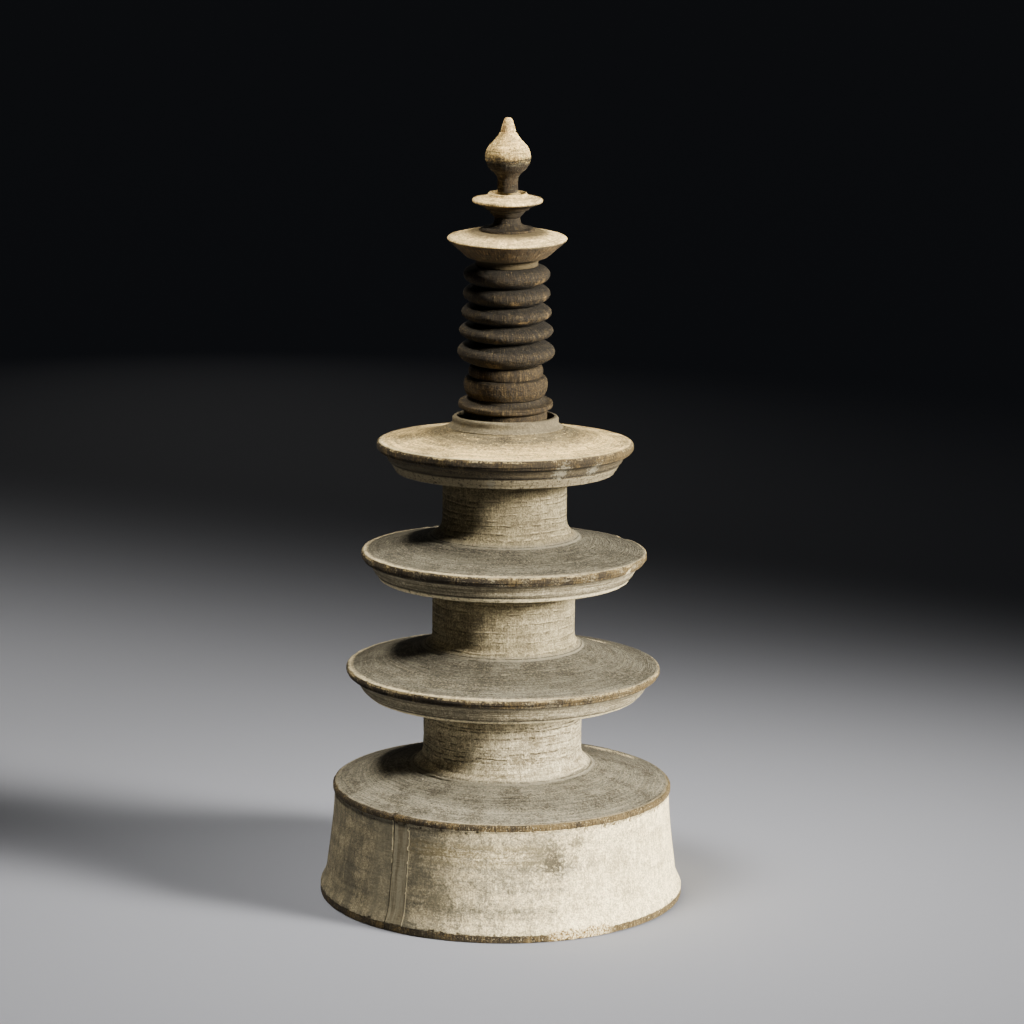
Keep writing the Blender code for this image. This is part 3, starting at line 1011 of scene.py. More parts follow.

# %% [markdown]
# ## The base
#
# The drum of the base is the whitest part. Its ground is lost along the foot and the rim, where
# brown wood shows in short upright strokes, and a split runs down its left front with a smooth
# bare strip beside it. The sloping top is grey with dust. The places of the stains are listed as
# degrees to the right of the front, height, size and strength, because they are accidents and
# follow no rule.

# %% The drum of the base
BASE_BLOTS = {
    "grey_blot": (17.5, 21.5, 4.6, 0.8),
    "blot_core": (17.0, 21.0, 2.8, 0.8),
    "blot_halo": (12.0, 23.5, 7.0, 0.55),
    "upper_blot": (25.5, 26.0, 2.2, 0.75),
    "lower_blot": (25.0, 21.5, 1.8, 0.7),
    "left_stain": (-76.0, 26.0, 1.3, 0.9),
    "brown_patch": (-20.0, 10.0, 4.5, 0.7),
    "grey_patch": (-27.0, 15.0, 5.0, 0.5),
    "rose_smudge": (1.0, 7.0, 2.2, 0.4),
    "right_patch": (42.0, 20.0, 5.0, 0.35),
}
STRIP_LIGHT = paint(134, 127, 104)
STRIP_DARK = paint(104, 96, 75)
STRIP_SHADE = paint(112, 106, 86)
# Grime and painted shade, laid on the left side of the drum.
LEFT_GRIME_AND_PAINTED_SHADE = paint(104, 100, 84)
BELT_BROWN = paint(108, 97, 68)


def base_side(f):
    """The drum: soiled in front, a belt of brown streaks, and grime and painted shade on the left."""
    soiled = f.both(f.between(f.right, -0.62, 0.4, 0.15), f.between(f.z, 7.0, 29.0, 2.5))
    loss = f.weighed((f.step(f.right, 0.1, 0.7), -0.055), (soiled, 0.04))
    brushed_ground(f, WHITE_GROUND, CREAM_GROUND, THIN_GROUND, OLIVE_FILM, loss)
    greyed = f.worn_through(0.4, 0.6, (f.clouds(7.0, 4.0, 0.6, 16), 0.5), (f.grain(3.0, 16.0), 0.5))
    greyed = f.plus(0.35, f.times(greyed, 0.6))
    # Grime and painted shade on the left: a grey film, then a darkening towards the left side.
    f.lay(LEFT_GRIME_AND_PAINTED_SHADE, f.both(f.step(f.right, -0.05, -0.6), greyed), 0.8)
    f.shade(1.04, 0.68, f.step(f.right, 0.0, -0.42))
    f.shade(1.0, 0.68, f.step(f.right, -0.4, -0.85))
    streaks = f.lines(1.2, 0.5, 4.0, 0.65, 3)
    streaks = f.worn_through(0.46, 0.53, (streaks, 0.5), (f.clouds(0.6, 4.0, 0.75, 4), 0.5))
    belt = f.both(f.between(f.z, 20.5, 26.0, 1.6, 2.0, 4.0), f.between(f.right, -0.55, 0.3, 0.12))
    f.lay(BELT_BROWN, f.both(streaks, belt), 0.85)
    for name, (angle, height, size, strength) in BASE_BLOTS.items():
        colour = DARK_WOOD if name == "blot_core" else OLIVE_FILM
        f.lay(colour, f.blot(angle, height, size), strength)


def base_strip(f):
    """The bare strip beside the split, with a bright broken border of ground."""
    beside = f.both(f.between(f.right, -0.72, -0.6, 0.03), f.step(f.z, 2.0, 5.0))
    f.lay(STRIP_SHADE, beside, 0.5)
    strip = f.own("bare_strip")
    smooth = f.mix(STRIP_LIGHT, STRIP_DARK, f.step(f.grain(1.6, 14.0), 0.42, 0.58))
    f.lay(smooth, f.step(strip, 0.35, 0.75), 0.92)
    border = f.but_not(f.step(strip, 0.04, 0.25), f.step(strip, 0.35, 0.6))
    f.lay(WHITE_GROUND, border, 0.85, 0.25)


print("stains on the drum:", len(BASE_BLOTS))

# %% Edges and top of the base
FLAKE_ORANGE = paint(150, 118, 62)
# The last paint is painted shade, laid towards the back of the top.
BASE_DUST_AND_SHADE = (GREY_DUST, DARK_DUST, paint(150, 142, 117), 0.6, paint(62, 58, 47))
CREAM_SPOTS = ((133.0, 35.0, 5.0, 1.4, 40.0), (122.0, 34.0, 2.6, 1.4, 43.0))


def base_edges(f, rim_low, top):
    """Bare wood along the foot and the rim, and flaked ground at the foot's right front."""
    foot = f.minus(1.0, f.between(f.z, f.rim_high - 0.3, NO_LIMIT, 0.12, 0.5, 1.6))
    rim = f.but_not(f.between(f.z, rim_low + 0.15, NO_LIMIT, 0.1, 0.3, 1.2), top)
    hatched = f.between(f.z, rim_low - 1.2, NO_LIMIT, 0.3, 1.0, 1.0)
    strokes = f.step(f.grain(0.5, 3.0, 3.0, 0.6, 17), 0.53, 0.58)
    hatched = f.but_not(f.both(hatched, f.step(f.right, 0.3, 0.6), strokes), top)
    bare = f.either(foot, rim, hatched, f.step(f.own("lost_ground"), 0.4, 0.8))
    kept = f.step(f.clouds(0.5, 3.0, 0.7, 8), 0.58, 0.66)
    wood = bare_wood(f, EDGE_WOOD, golden=f.step(f.right, -0.3, 0.8), pale=0.25)
    f.lay(wood, f.but_not(bare, f.times(kept, 0.5)), 1.0, -0.2)
    flaked = f.between(f.z, 0.2, 2.9, 0.3, 1.4, 2.0)
    flaked = f.both(flaked, f.between(f.right, 0.27, 0.58, 0.04))
    crumbs = f.clouds(0.55, 4.0, 0.75, 15)
    f.lay(f.mix(FLAKE_ORANGE, WHITE_GROUND, f.step(crumbs, 0.47, 0.55)), flaked, 0.9)
    f.lay(DARK_WOOD, f.both(flaked, f.step(crumbs, 0.46, 0.4)), 0.8, -0.2)


def base_top(f, edge, top):
    """Dust with painted shade towards the back, and a border pale on the left and brown on the right."""
    # shade is a mask of painted shade: the top darkens towards the back.
    arcs, shade = f.lines(1.3, 0.6, 4.0, 0.65, 4), f.times(f.step(f.back, -0.1, 0.7), 0.85)
    f.lay(dust_with_back_shade(f, arcs, *BASE_DUST_AND_SHADE, shade), top, 1.0, -0.1)
    border = f.both(top, f.step(f.radius, edge - 1.2, edge - 0.4))
    f.lay(THIN_GROUND, f.both(border, f.step(f.right, 0.4, -0.4)), 0.8)
    f.lay(DARK_WOOD, f.both(border, f.step(f.right, 0.0, 0.4)), 0.75)
    for spot in CREAM_SPOTS:
        f.lay(CREAM_GROUND, f.both(top, f.blot(*spot)), 0.8, 0.08)
    pits = f.step(f.clouds(0.5, 2.0, 0.6, 5), 0.6, 0.68)
    f.lay(DARK_WOOD, f.both(pits, top), 0.75, -0.15)
    speckled_dust(f, top)


def base_finish():
    f = Finish("base", 1.0)
    (_, rim_low), _, (edge, edge_height) = profile_in_mm("base")[-4:-1]
    base_side(f)
    base_strip(f)
    top = f.step(f.z, edge_height - 0.22, edge_height - 0.02)
    base_edges(f, rim_low, top)
    base_top(f, edge, top)
    f.lay(SOOT, f.step(f.own("split"), 0.5, 0.95), 0.9)
    return f.done()


base_paint = base_finish()
print("base finish:", len(base_paint.node_tree.nodes), "nodes")

# %% [markdown]
# ## The roofs
#
# A roof is a thick disc. Dust lies grey on its sloping top, the ground is worn to brown wood round
# the rim, and the hollow moulding under the rim is still pale, with brown lines where the chisel
# stood. A bright border is left on the top's edge at the front and left. The third roof kept more
# ground on its top than under its rim. The stains are listed as for the base, and those with a
# radius after the size lie on the top.

# %% Looks of the roofs
PALE_MOULDINGS = {
    "coat": (paint(196, 184, 150), paint(158, 147, 118), paint(158, 147, 118), OLIVE_FILM),
    "lip": 0.8,
    # back: how strongly painted shade darkens the top towards the back.
    "back": 0.7,
}
DARK_MOULDINGS = {
    "coat": (paint(96, 86, 64), paint(80, 71, 53), paint(80, 71, 53), DARK_WOOD),
    "lip": 0.2,
    # back: how strongly painted shade darkens the top towards the back.
    "back": 0.3,
}
ROOF_LOOKS = {
    "first_roof": {"seed": 2.0, "dust": (paint(98, 94, 80), paint(66, 62, 50)), **PALE_MOULDINGS},
    "second_roof": {"seed": 3.0, "dust": (paint(90, 86, 72), paint(60, 56, 45)), **PALE_MOULDINGS},
    "third_roof": {"seed": 4.0, "dust": (paint(230, 199, 132), paint(146, 128, 88)), **DARK_MOULDINGS},
}
ROOF_BLOTS = {
    "first_roof": (("cream", 128.0, 68.0, 3.0, 34.0), ("brown", -27.0, 62.3, 2.0, None)),
    "second_roof": (
        ("brown", 42.0, 97.0, 2.0, None), ("cream", 60.0, 95.6, 1.2, None),
        ("brown", 117.0, 99.0, 2.0, 34.4), ("brown", 75.0, 97.6, 1.4, 38.5),
    ),
    "third_roof": (
        ("brown", 40.0, 127.8, 3.0, None), ("brown", 20.0, 127.6, 2.0, None),
        ("grey", 27.0, 125.2, 2.4, None), ("grey", 46.0, 125.0, 2.0, None),
        ("grey", -7.0, 121.8, 1.3, None), ("brown", 0.0, 131.0, 2.2, 17.5),
    ),
}
BLOT_PAINT = {"cream": CREAM_GROUND, "brown": DARK_WOOD, "grey": paint(134, 128, 108)}
RUBBED_RIM = paint(170, 152, 110)
PALE_DUST = paint(136, 128, 105)
# Painted shade, laid on the roofs' tops towards the back.
PAINTED_BACK_SHADE = paint(58, 54, 43)
DOME_FILM = paint(86, 78, 58)
DOME = (29.5, 19.0)
CRACK = ((28.3, 10.5), (34.0, 6.5), 0.35)
print("stains on the roofs:", sum(len(blots) for blots in ROOF_BLOTS.values()))


# %% Finish of a roof
def roof_mouldings(f, under_rim, coat):
    """What is under the rim: thin ground with fine and wide chisel lines."""
    brushed_ground(f, *coat)
    f.lay(BARE_WOOD, f.step(f.lines(0.55, 0.8, 3.0, 0.65), 0.5, 0.62), 0.7, -0.08)
    wide_lines = f.step(f.lines(1.5, 1.2, 3.0, 0.6, 6), 0.53, 0.61)
    f.lay(BARE_WOOD, f.both(wide_lines, f.step(f.clouds(1.2, 4.0, 0.7), 0.42, 0.56)), 0.6)
    f.lay(SOOT, f.between(f.z, under_rim - 0.1, under_rim + 0.3, 0.2), 0.65)
    smears = f.step(f.lines(1.1, 0.7, 4.0, 0.65, 2), 0.42, 0.56)
    f.lay(OLIVE_FILM, f.both(f.step(f.right, 0.1, -0.8), smears), 0.6)


def roof_rim(f):
    """The band of brown wood round the rim. It is returned, since some stains keep to it."""
    band = f.between(f.z, f.rim_low - 0.75, f.rim_high + 0.1, 0.15, 0.3, 1.2)
    band = f.both(band, f.step(f.radius, f.reach - 3.0, f.reach - 2.0))
    bare = f.either(band, f.times(f.step(f.own("lost_ground"), 0.4, 0.8), 0.8))
    kept = f.worn_through(0.53, 0.58, (f.clouds(0.5, 3.0, 0.7, 8), 0.6), (f.clouds(5.0, 3.0), 0.4))
    wood = bare_wood(f, EDGE_WOOD, golden=f.step(f.right, 0.1, 0.9), pale=0.12)
    f.lay(wood, f.but_not(bare, f.times(kept, 0.45)), 1.0, -0.2)
    f.lay(SOOT, f.between(f.z, f.rim_low - 1.0, f.rim_low - 0.7, 0.15, 0.1), 0.6)
    wide, fine = f.clouds(5.0, 3.0, 0.6, 4), f.clouds(0.7, 4.0, 0.7)
    dark_patch = f.worn_through(0.47, 0.52, (wide, 0.6), (fine, 0.4))
    f.lay(DARK_WOOD, f.both(band, dark_patch, f.step(f.right, 0.75, -0.3)), 0.8)
    upper_edge = f.between(f.z, f.rim_high - 0.35, f.rim_high + 0.15, 0.12, 0.3, 1.0)
    fine, wide = f.clouds(0.6, 4.0, 0.7, 13), f.clouds(4.0, 3.0, 0.6, 14)
    f.lay(RUBBED_RIM, f.both(upper_edge, f.worn_through(0.5, 0.56, (fine, 0.5), (wide, 0.5))), 0.8)
    return band


def roof_top(f, node, dust, back):
    """Dust, the bright border at the front and left, and pits. The dome is round the collar."""
    top = f.step(f.z, f.rim_high + 0.1, f.rim_high + 0.34)
    # shade is a mask of painted shade: the top darkens towards the back, by the roof's back share.
    arcs, shade = f.lines(1.6, 0.7, 4.0, 0.6, 4), f.times(f.step(f.back, 0.0, 0.9), back)
    f.lay(dust_with_back_shade(f, arcs, *dust, PALE_DUST, 0.55, PAINTED_BACK_SHADE, shade), top)
    ragged = f.stray(f.clouds(2.0, 4.0, 0.7), 2.4)
    border = f.step(f.plus(f.radius, ragged), f.reach - 2.4, f.reach - 0.8)
    f.lay(CREAM_GROUND, f.both(border, top, f.step(f.right, 0.9, -0.2)), 0.85)
    if node == "third_roof":
        dome = f.step(f.plus(f.radius, f.times(ragged, 2.5)), *DOME)
        film = f.worn_through(0.44, 0.56, (f.clouds(0.8, 4.0, 0.75, 3), 1.0), (dome, 0.15))
        f.lay(DOME_FILM, f.both(dome, top, film), 0.9)
    pits = f.step(f.clouds(0.6, 2.0, 0.6, 5), 0.58, 0.66)
    f.lay(DARK_WOOD, f.both(pits, top), 0.75, -0.15)
    speckled_dust(f, top)
    return top


def roof_finish(node, seed, dust, coat, lip, back):
    f = Finish(node, seed)
    line = profile_in_mm(node)
    _, under_rim = line[line.index((f.reach, f.rim_low)) - 1]
    roof_mouldings(f, under_rim, coat)
    band = roof_rim(f)
    top = roof_top(f, node, dust, back)
    lip_ground = f.step(f.clouds(0.8, 4.0, 0.75, 3), 0.38, 0.5)
    f.lay(WHITE_GROUND, f.both(f.step(f.z, under_rim - 0.1, under_rim - 0.5), lip_ground), lip)
    if node == "second_roof":
        f.lay(SOOT, f.both(top, f.crack(*CRACK)), 0.9, -0.4)
    for kind, angle, height, size, radius in ROOF_BLOTS[node]:
        stain = f.blot(angle, height, size, 1.2, radius)
        if kind == "brown" and radius is None:
            stain = f.both(stain, band)
        f.lay(BLOT_PAINT[kind], stain, 0.85)
    return f.done()


roof_paints = {node: roof_finish(node, **look) for node, look in ROOF_LOOKS.items()}
print("roof finish:", len(roof_paints["first_roof"].node_tree.nodes), "nodes")

# %% [markdown]
# ## The storey walls
#
# The walls were brushed with so little ground that every line of the chisel shows through, as
# broken brown rings. The lathe's own tool marks say where some of them are, so that colour and
# relief agree there, and the upright grain breaks them into dashes. The boldest rings are listed
# by their heights.

# %% Finish of a wall
WALL_LOOKS = {
    "first_storey_wall": (
        5.0, paint(208, 196, 160), paint(180, 168, 136), 0.75,
        (53.4, 51.6, 50.7, 48.8, 46.5, 44.6, 43.2, 42.0, 37.6),
    ),
    "second_storey_wall": (
        6.0, paint(168, 156, 121), paint(142, 131, 101), 0.45,
        (86.0, 83.5, 80.6, 78.0, 75.4, 72.3),
    ),
    "third_storey_wall": (
        7.0, paint(144, 133, 102), paint(122, 112, 85), 0.5,
        (114.3, 112.9, 110.3, 108.7, 107.3, 105.2, 103.7),
    ),
}
THIN_WALL_GROUND = paint(118, 107, 82)
BARE_WALL_GROUND = paint(94, 85, 63)


def bold_ring(f, index, height, strength):
    """One dark broken line round a wall, and the pale ridge above it."""
    line = f.between(f.z, height - 0.16, height + 0.16, 0.16, 1.0, 12.0)
    broken = f.step(f.grain(3.0, 30.0, 5.0, 0.75, 4 + index), 0.44, 0.56)
    f.lay(DARK_WOOD, f.both(line, broken), strength, -0.25)
    ridge = f.between(f.z, height + 0.3, height + 0.6, 0.16, 1.0, 12.0)
    f.lay(CREAM_GROUND, f.both(ridge, broken), 0.25, 0.1)


def wall_finish(node, seed, light, middle, ring_strength, ring_heights):
    f = Finish(node, seed)
    brushed_ground(f, light, middle, THIN_WALL_GROUND, BARE_WALL_GROUND, -0.02)
    dashes = f.step(f.grain(0.35, 2.6, 3.0, 0.6, 1), 0.42, 0.56)
    dashed = f.plus(0.3, f.times(dashes, 0.7))
    smears, fine = f.lines(1.0, 0.7, 4.0, 0.65, 22), f.clouds(0.7, 4.0, 0.7, 23)
    f.lay(BARE_WOOD, f.worn_through(0.5, 0.58, (smears, 0.7), (fine, 0.3)), 0.3, -0.06)
    patchy = f.step(f.clouds(6.0, 4.0, 0.6, 3), 0.42, 0.56)
    f.lay(BARE_WOOD, f.both(f.step(f.own("tool_mark"), 0.5, 0.95), dashed, patchy), 0.2, -0.05)
    hair = f.step(f.lines(0.34, 0.7, 3.0, 0.65), 0.52, 0.62)
    f.lay(BARE_WOOD, f.both(hair, dashed), 0.34, -0.06)
    bold = f.step(f.lines(1.1, 0.8, 3.0, 0.7, 2), 0.6, 0.66)
    f.lay(DARK_WOOD, f.both(bold, dashes, patchy), 0.4, -0.08)
    for index, height in enumerate(ring_heights):
        bold_ring(f, index, height, ring_strength)
    f.lay(GREY_DUST, f.step(f.radius, f.reach - 1.6, f.reach + 0.8), 0.9)
    toe = f.between(f.radius, f.reach - 0.1, f.reach + 0.1, 0.12, 0.12, 2.0)
    f.lay(SOOT, f.both(toe, f.step(f.grain(2.0, 30.0, 4.0, 0.75, 9), 0.4, 0.5)), 0.85, -0.2)
    f.shade(0.9, 1.08, f.step(f.grain(0.28, 1.6, 2.0, 0.6, 6), 0.35, 0.65))
    f.raise_by(dashes, -0.05)
    return f.done()


wall_paints = {node: wall_finish(node, *look) for node, look in WALL_LOOKS.items()}
print("wall finish:", len(wall_paints["first_storey_wall"].node_tree.nodes), "nodes")

# %% Finish of the collar
COLLAR_COAT = (paint(160, 146, 112), THIN_WALL_GROUND, paint(90, 80, 58), paint(60, 53, 38))
COLLAR_FILM = paint(84, 77, 60)
MOUTH = (13.7, 13.3)


def collar_finish():
    f = Finish("socket_collar", 8.0)
    brushed_ground(f, *COLLAR_COAT)
    f.lay(COLLAR_FILM, f.step(f.z, f.rim_high - 0.6, f.rim_low - 0.2), 0.7)
    f.lay(bare_wood(f), f.step(f.own("lost_ground"), 0.4, 0.75), 0.6)
    f.lay(SOOT, f.step(f.radius, *MOUTH), 0.85)
    return f.done()


collar_paint = collar_finish()
print("collar finish:", len(collar_paint.node_tree.nodes), "nodes")

# %% [markdown]
# ## The finial
#
# The finial was turned from a denser, darker wood. Its rings never had ground, or lost it all:
# they are nearly black, with a rubbed edge here and there, listed as degrees, height and size.
# The plug, the seat, the beads and the neck are a warmer brown. Only the canopy, the small disc
# and the jewel kept a cream coat.

# %% Finish of rings and beads
# Rubbed brown. It is also painted reflected light on the lower half of an edge.
RUBBED_AND_REFLECTED_LIGHT = paint(86, 71, 43)
RUBBED_BRIGHT = paint(122, 100, 64)
STROKE_LIGHT = paint(112, 98, 68)
RING_WOOD = (paint(30, 26, 18), paint(44, 36, 22))
BROWN_WOOD = (paint(42, 34, 19), paint(60, 48, 27))
RING_RUBS = {
    "ring_1": ((60.0, 38.8, 1.2), (48.0, 38.4, 1.0)),
    "ring_2": ((8.0, 33.2, 0.9), (14.0, 33.1, 0.8), (62.0, 34.0, 1.0)),
    "ring_3": ((20.0, 28.0, 0.9), (28.0, 28.0, 0.8), (66.0, 28.8, 1.2)),
    "ring_4": ((-12.0, 22.6, 1.0),),
    "ring_5": ((-20.0, 16.2, 1.0), (-11.0, 16.0, 1.1)),
}
BROWN_MEMBERS = ("socket_plug", "seat_disc", "lower_bead", "upper_bead", "upper_neck")


def dark_finish(node, seed, woods, rubs=()):
    top, edge = woods
    f = Finish(node, seed)
    strokes, fine = f.grain(0.34, 3.0, 3.0, 0.7), f.clouds(0.5, 4.0, 0.7, 3)
    at_edge = f.step(f.radius, f.reach - 2.2, f.reach - 0.1)
    edge_share = f.worn_through(0.5, 0.66, (at_edge, 0.35), (f.clouds(3.0, 4.0), 0.4), (fine, 0.3))
    f.colour = f.mix(top, edge, edge_share)
    f.lay(SOOT, f.step(strokes, 0.46, 0.58), 0.75)
    f.lay(STROKE_LIGHT, f.both(f.step(strokes, 0.46, 0.36), f.step(fine, 0.46, 0.54)), 0.5)
    # Painted reflected light: the rubbed brown lies more thickly on the lower half of the edge.
    lit_from_below = f.step(f.z, 0.5 * (f.rim_low + f.rim_high) + 0.6, f.rim_low - 0.8)
    rubbed = f.worn_through(0.53, 0.58, (f.clouds(2.6, 4.0, 0.65, 4), 0.6), (fine, 0.4))
    f.lay(RUBBED_AND_REFLECTED_LIGHT, f.both(rubbed, at_edge, f.plus(0.3, f.times(lit_from_below, 0.7))), 0.45)
    for angle, height, size in rubs:
        f.lay(RUBBED_BRIGHT, f.blot(angle, height, size, 1.2), 0.55)
    f.lay(SOOT, f.step(f.lines(0.4, 1.0, 3.0, 0.65), 0.54, 0.64), 0.35, -0.05)
    f.raise_by(strokes, 0.2)
    f.raise_by(f.clouds(2.2, 4.0, 0.65, 6), 0.5)
    f.grit(1.0, 0.36)
    f.roughness = 0.8
    return f.done(0.25)


ring_paints = {
    node: dark_finish(node, 10.0 + index, RING_WOOD, rubs)
    for index, (node, rubs) in enumerate(RING_RUBS.items())
}
brown_paints = {
    node: dark_finish(node, 20.0 + index, BROWN_WOOD) for index, node in enumerate(BROWN_MEMBERS)
}
print("ring finish:", len(ring_paints["ring_1"].node_tree.nodes), "nodes")

# %% Finish of canopy, small disc and jewel
CROWN_COATS = {
    "canopy": (31.0, paint(240, 210, 146), paint(214, 185, 128), (49.1, 49.8), 13.5, 1.9),
    "small_disc": (32.0, paint(246, 214, 146), paint(220, 190, 128), (59.3, 60.1), 0.0, 0.4),
    "jewel": (33.0, paint(255, 226, 148), paint(236, 198, 124), (70.4, 74.6), 0.0, 0.42),
}
THIN_CREAM = paint(160, 140, 98)
CROWN_WOOD = (paint(84, 68, 42), paint(62, 50, 32), paint(34, 27, 17))
NUB_ROSE = paint(150, 112, 78)
NUB = (78.0, 79.0)


def crown_finish(node, seed, light, middle, coat_heights, shadow_ring, wood_light):
    """Cream coat above, brown wood below: the coat comes in from one height to another."""
    coat_from, coat_to = coat_heights
    f = Finish(node, seed)
    brushed_ground(f, light, middle, THIN_CREAM, OLIVE_FILM, -0.03)
    wood = bare_wood(f, CROWN_WOOD, 0.4, pale=0.12)
    wood = f.mix(wood, (wood_light, wood_light, wood_light, 1.0), 1.0, "MULTIPLY")
    fine = f.clouds(0.8, 4.0, 0.75, 3)
    blur = 1.2 * max(0.6, coat_to - coat_from)
    ragged = f.plus(f.stray(fine, blur), f.stray(f.lines(0.7, 1.0, 3.0), blur))
    f.lay(wood, f.minus(1.0, f.step(f.plus(f.z, ragged), coat_from, coat_to)))
    hair = f.step(f.lines(0.42, 1.0, 3.0, 0.65), 0.53, 0.63)
    f.lay(OLIVE_FILM, hair, 0.6, -0.08)
    ticks = f.step(f.grain(0.3, 1.6, 3.0), 0.54, 0.63)
    f.lay(OLIVE_FILM, f.both(ticks, f.step(f.radius, f.reach * 0.8, f.reach)), 0.6)
    # Painted shadow and dirt: a dark ring on the canopy's top round the neck's foot, under the small disc.
    if shadow_ring:
        ragged = f.plus(f.radius, f.stray(fine, 5.0))
        f.lay(BARE_WOOD, f.step(ragged, shadow_ring, 0.7 * shadow_ring), 0.94)
    if node == "jewel":
        rosy = f.worn_through(0.46, 0.54, (f.clouds(1.6, 3.0, 0.6, 5), 0.6), (fine, 0.4))
        f.lay(NUB_ROSE, f.both(f.step(f.z, *NUB), rosy), 0.6)
    return f.done()


crown_paints = {node: crown_finish(node, *look) for node, look in CROWN_COATS.items()}
print("jewel finish:", len(crown_paints["jewel"].node_tree.nodes), "nodes")

# %% [markdown]
# ## Turning all members
#
# Each member goes through the same lathe with its own amounts of wear. The base also gets its
# split, and the second roof the bite that is missing from its rim. A groove is listed as its
# height, width and depth in mm.

# %% Turn the body
GROOVES = {
    "base": ((32.05, 0.5, 0.12),),
    "first_roof": ((61.0, 6.0, 0.5), (63.5, 0.9, 0.3), (60.2, 0.5, 0.12), (58.4, 0.8, 0.3)),
    "second_roof": ((93.7, 5.4, 0.5), (95.9, 0.9, 0.3), (92.8, 0.5, 0.12), (91.4, 0.8, 0.3)),
    "third_roof": ((124.9, 4.2, 0.5), (126.5, 0.8, 0.3), (123.2, 0.8, 0.35), (121.0, 0.6, 0.25)),
    "first_storey_wall": ((42.0, 0.6, 0.18), (43.9, 0.5, 0.14), (37.6, 0.7, 0.2)),
    "second_storey_wall": ((72.3, 0.6, 0.16), (74.0, 0.5, 0.1)),
    "third_storey_wall": ((112.8, 0.6, 0.16), (103.7, 0.6, 0.16), (105.2, 0.5, 0.12)),
    "jewel": ((78.7, 0.8, 0.35),),
}
BITE_ANGLE = math.radians(119.0)
BITE_RADIUS = 40.0 * MM
BITE_HEIGHT = 97.6 * MM
BITE = {
    "bite_place": (BITE_RADIUS * math.sin(BITE_ANGLE), -BITE_RADIUS * math.cos(BITE_ANGLE), BITE_HEIGHT),
    "bite_size": 3.4 * MM,
    "bite_depth": 0.7 * MM,
}
BASE_WEAR = {
    "wobble": 0.25 * MM, "lump_depth": 0.14 * MM, "chip_depth": 0.15 * MM, "chip_share": 0.3,
    "tool_mark_depth": 0.03 * MM, "tool_mark_pitch": 2.5 * MM,
    "split_angle": math.radians(232.2), "split_lean": -0.35, "split_depth": 0.4 * MM,
    "strip_width": 5.4 * MM, "strip_depth": 0.14 * MM,
}
ROOF_WEAR = {
    "wobble": 0.2 * MM, "lump_depth": 0.12 * MM, "chip_depth": 0.14 * MM, "chip_share": 0.3,
    "tool_mark_depth": 0.05 * MM, "tool_mark_pitch": 1.4 * MM, "chip_size": 2.6 * MM,
}
WALL_WEAR = {
    "wobble": 0.15 * MM, "lump_depth": 0.06 * MM,
    "tool_mark_depth": 0.12 * MM, "tool_mark_pitch": 1.0 * MM,
}
COLLAR_WEAR = {"chip_depth": 0.12 * MM, "chip_share": 0.3}
FINIAL_WEAR = {
    "wobble": 0.08 * MM, "lump_depth": 0.08 * MM, "lump_size": 3.0 * MM, "chip_depth": 0.1 * MM,
    "tool_mark_depth": 0.05 * MM, "tool_mark_pitch": 0.7 * MM,
}
# How far each kind of member is rounded, and how fine its mesh is up and round it.
BASE_MESH = (0.3 * MM, 0.52 * MM, 0.68 * MM)
ROOF_MESH = (0.65 * MM, 0.45 * MM, 0.7 * MM)
WALL_MESH = (0.3 * MM, 0.3 * MM, 0.55 * MM)
COLLAR_MESH = (0.25 * MM, 0.3 * MM, 0.5 * MM)
FINIAL_MESH = (0.2 * MM, 0.3 * MM, 0.5 * MM)

turned("base", base_paint, *BASE_MESH, GROOVES["base"], **BASE_WEAR)
for node, finish in roof_paints.items():
    bite = BITE if node == "second_roof" else {}
    turned(node, finish, *ROOF_MESH, GROOVES[node], **ROOF_WEAR, **bite)
for node, finish in wall_paints.items():
    turned(node, finish, *WALL_MESH, GROOVES[node], **WALL_WEAR)
turned("socket_collar", collar_paint, *COLLAR_MESH, **COLLAR_WEAR)

# %% Turn the finial
for node, finish in {**ring_paints, **brown_paints, **crown_paints}.items():
    share = 0.0 if node in crown_paints else 0.3
    turned(node, finish, *FINIAL_MESH, GROOVES.get(node, ()), chip_share=share, **FINIAL_WEAR)

# %% [markdown]
# ## The studio
#
# One large soft light stands low on the right, a little in front, and hardly reaches the floor
# behind. A weak one, nearly overhead on the left, gives the tops their bright left borders. A very
# weak one behind the object is for the other views. The floor is plain and pale, and it runs on so
# far that the camera doesn't see its end.

# %% Floor
FLOOR_REACH = 30.0
floor_mesh = bpy.data.meshes.new("floor")
corners = [(x * FLOOR_REACH, y * FLOOR_REACH, 0.0) for x, y in ((-1, -1), (1, -1), (1, 1), (-1, 1))]
floor_mesh.from_pydata(corners, [], [(0, 1, 2, 3)])
floor = bpy.data.objects.new("floor", floor_mesh)
bpy.context.scene.collection.objects.link(floor)
floor_paint = bpy.data.materials.new("floor_paper")
floor_paint.use_nodes = True
floor_shader = floor_paint.node_tree.nodes["Principled BSDF"]
floor_shader.inputs["Base Color"].default_value = paint(116, 119, 128)
floor_shader.inputs["Roughness"].default_value = 0.95
floor.data.materials.append(floor_paint)
floor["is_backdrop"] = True
print("floor reaches", FLOOR_REACH, "m each way")

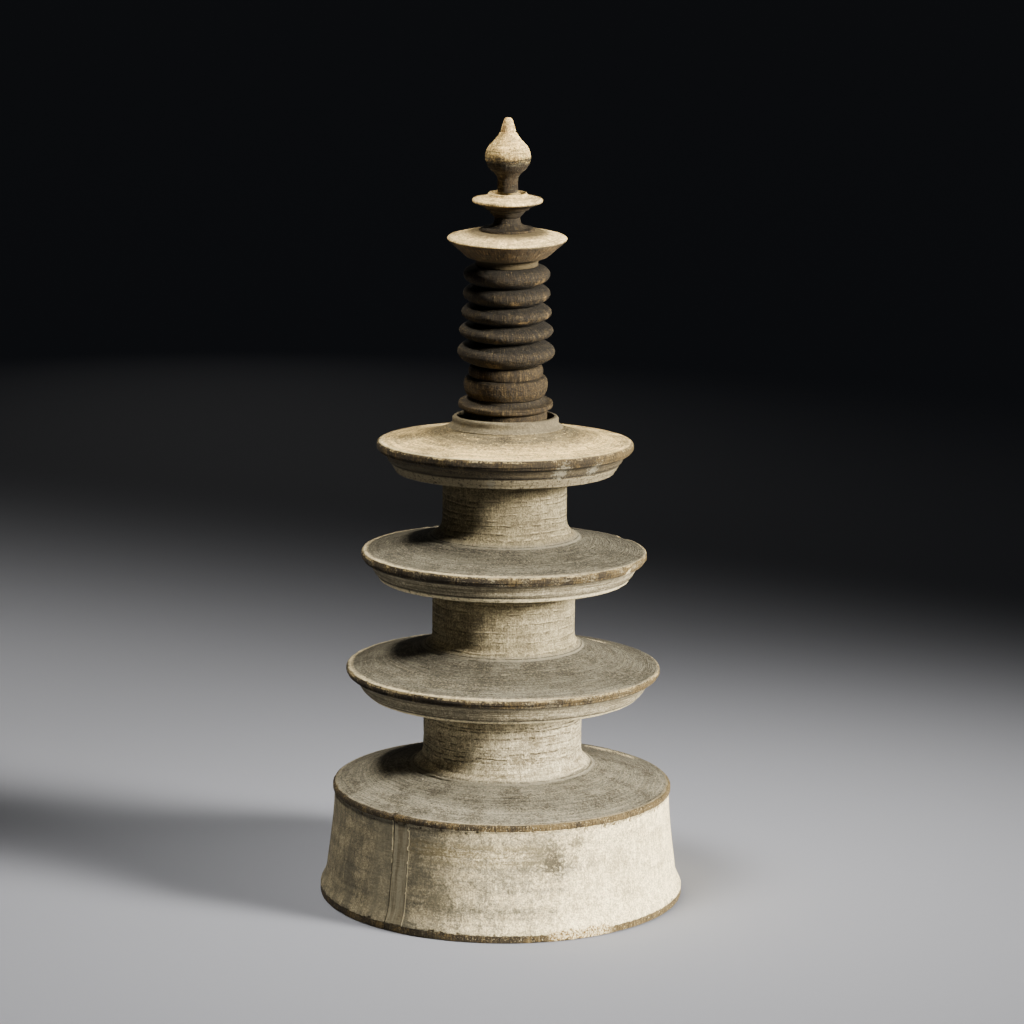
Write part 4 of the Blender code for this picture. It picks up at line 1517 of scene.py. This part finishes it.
# %% Lights
WARM_LIGHT = (1.0, 0.95, 0.86)
ROOM_LIGHT = (0.92, 0.95, 1.0, 1.0)
ROOM_STRENGTH = 0.025
LIGHTS = {
    "key": {
        "spot": (0.03, -0.13, 0.105), "turn": 68.0, "rise": 19.0, "distance": 1.2,
        "size": 0.72, "watts": 7.6, "spread": 22.0,
    },
    "top": {
        "spot": (0.0, -0.02, 0.15), "turn": -60.0, "rise": 73.0, "distance": 1.1,
        "size": 0.3, "watts": 0.45, "spread": 18.0,
    },
    "back": {
        "spot": (0.0, 0.0, 0.115), "turn": 190.0, "rise": 12.0, "distance": 1.2,
        "size": 0.6, "watts": 0.15, "spread": 90.0,
    },
}


def soft_light(name, spot, turn, rise, distance, size, watts, spread):
    """A round soft box that points at the spot; turn is in degrees to the right of the front,
    rise in degrees up."""
    lamp = bpy.data.lights.new(name, "AREA")
    lamp.shape, lamp.size, lamp.energy, lamp.color = "DISK", size, watts, WARM_LIGHT
    lamp.spread = math.radians(spread)
    holder = bpy.data.objects.new(name, lamp)
    bpy.context.scene.collection.objects.link(holder)
    turn, rise = math.radians(turn), math.radians(rise)
    level = math.cos(rise)
    aim = Vector((math.sin(turn) * level, -math.cos(turn) * level, math.sin(rise)))
    holder.location = Vector(spot) + aim * distance
    holder.rotation_euler = (-aim).to_track_quat("-Z", "Y").to_euler()
    holder.visible_camera = False


for name, setting in LIGHTS.items():
    soft_light(name, **setting)
world = bpy.data.worlds.new("studio")
world.use_nodes = True
world.node_tree.nodes["Background"].inputs[0].default_value = ROOM_LIGHT
world.node_tree.nodes["Background"].inputs[1].default_value = ROOM_STRENGTH
bpy.context.scene.world = world
print("lights:", ", ".join(LIGHTS))

# %% Camera
CAMERA_PLACE = (0.0021, -0.8497, 0.2646)
CAMERA_DOWN = 10.4
CAMERA_ROLL = 0.6
camera_data = bpy.data.cameras.new("camera")
camera_data.lens = 109.0
camera_data.sensor_width = 36.0
camera = bpy.data.objects.new("camera", camera_data)
bpy.context.scene.collection.objects.link(camera)
camera.location = CAMERA_PLACE
camera.rotation_euler = (math.radians(90.0 - CAMERA_DOWN), 0.0, 0.0)
camera.rotation_euler.rotate_axis("Z", math.radians(CAMERA_ROLL))
bpy.context.scene.camera = camera
print("camera", [round(c, 4) for c in camera.location], "lens", camera_data.lens)

# %% Sizes, and the end
VISUAL_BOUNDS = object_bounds()
for name, bounds in (("solids", CAD_BOUNDS), ("pieces", VISUAL_BOUNDS)):
    print(name, [[round(c / MM, 2) for c in corner] for corner in bounds])
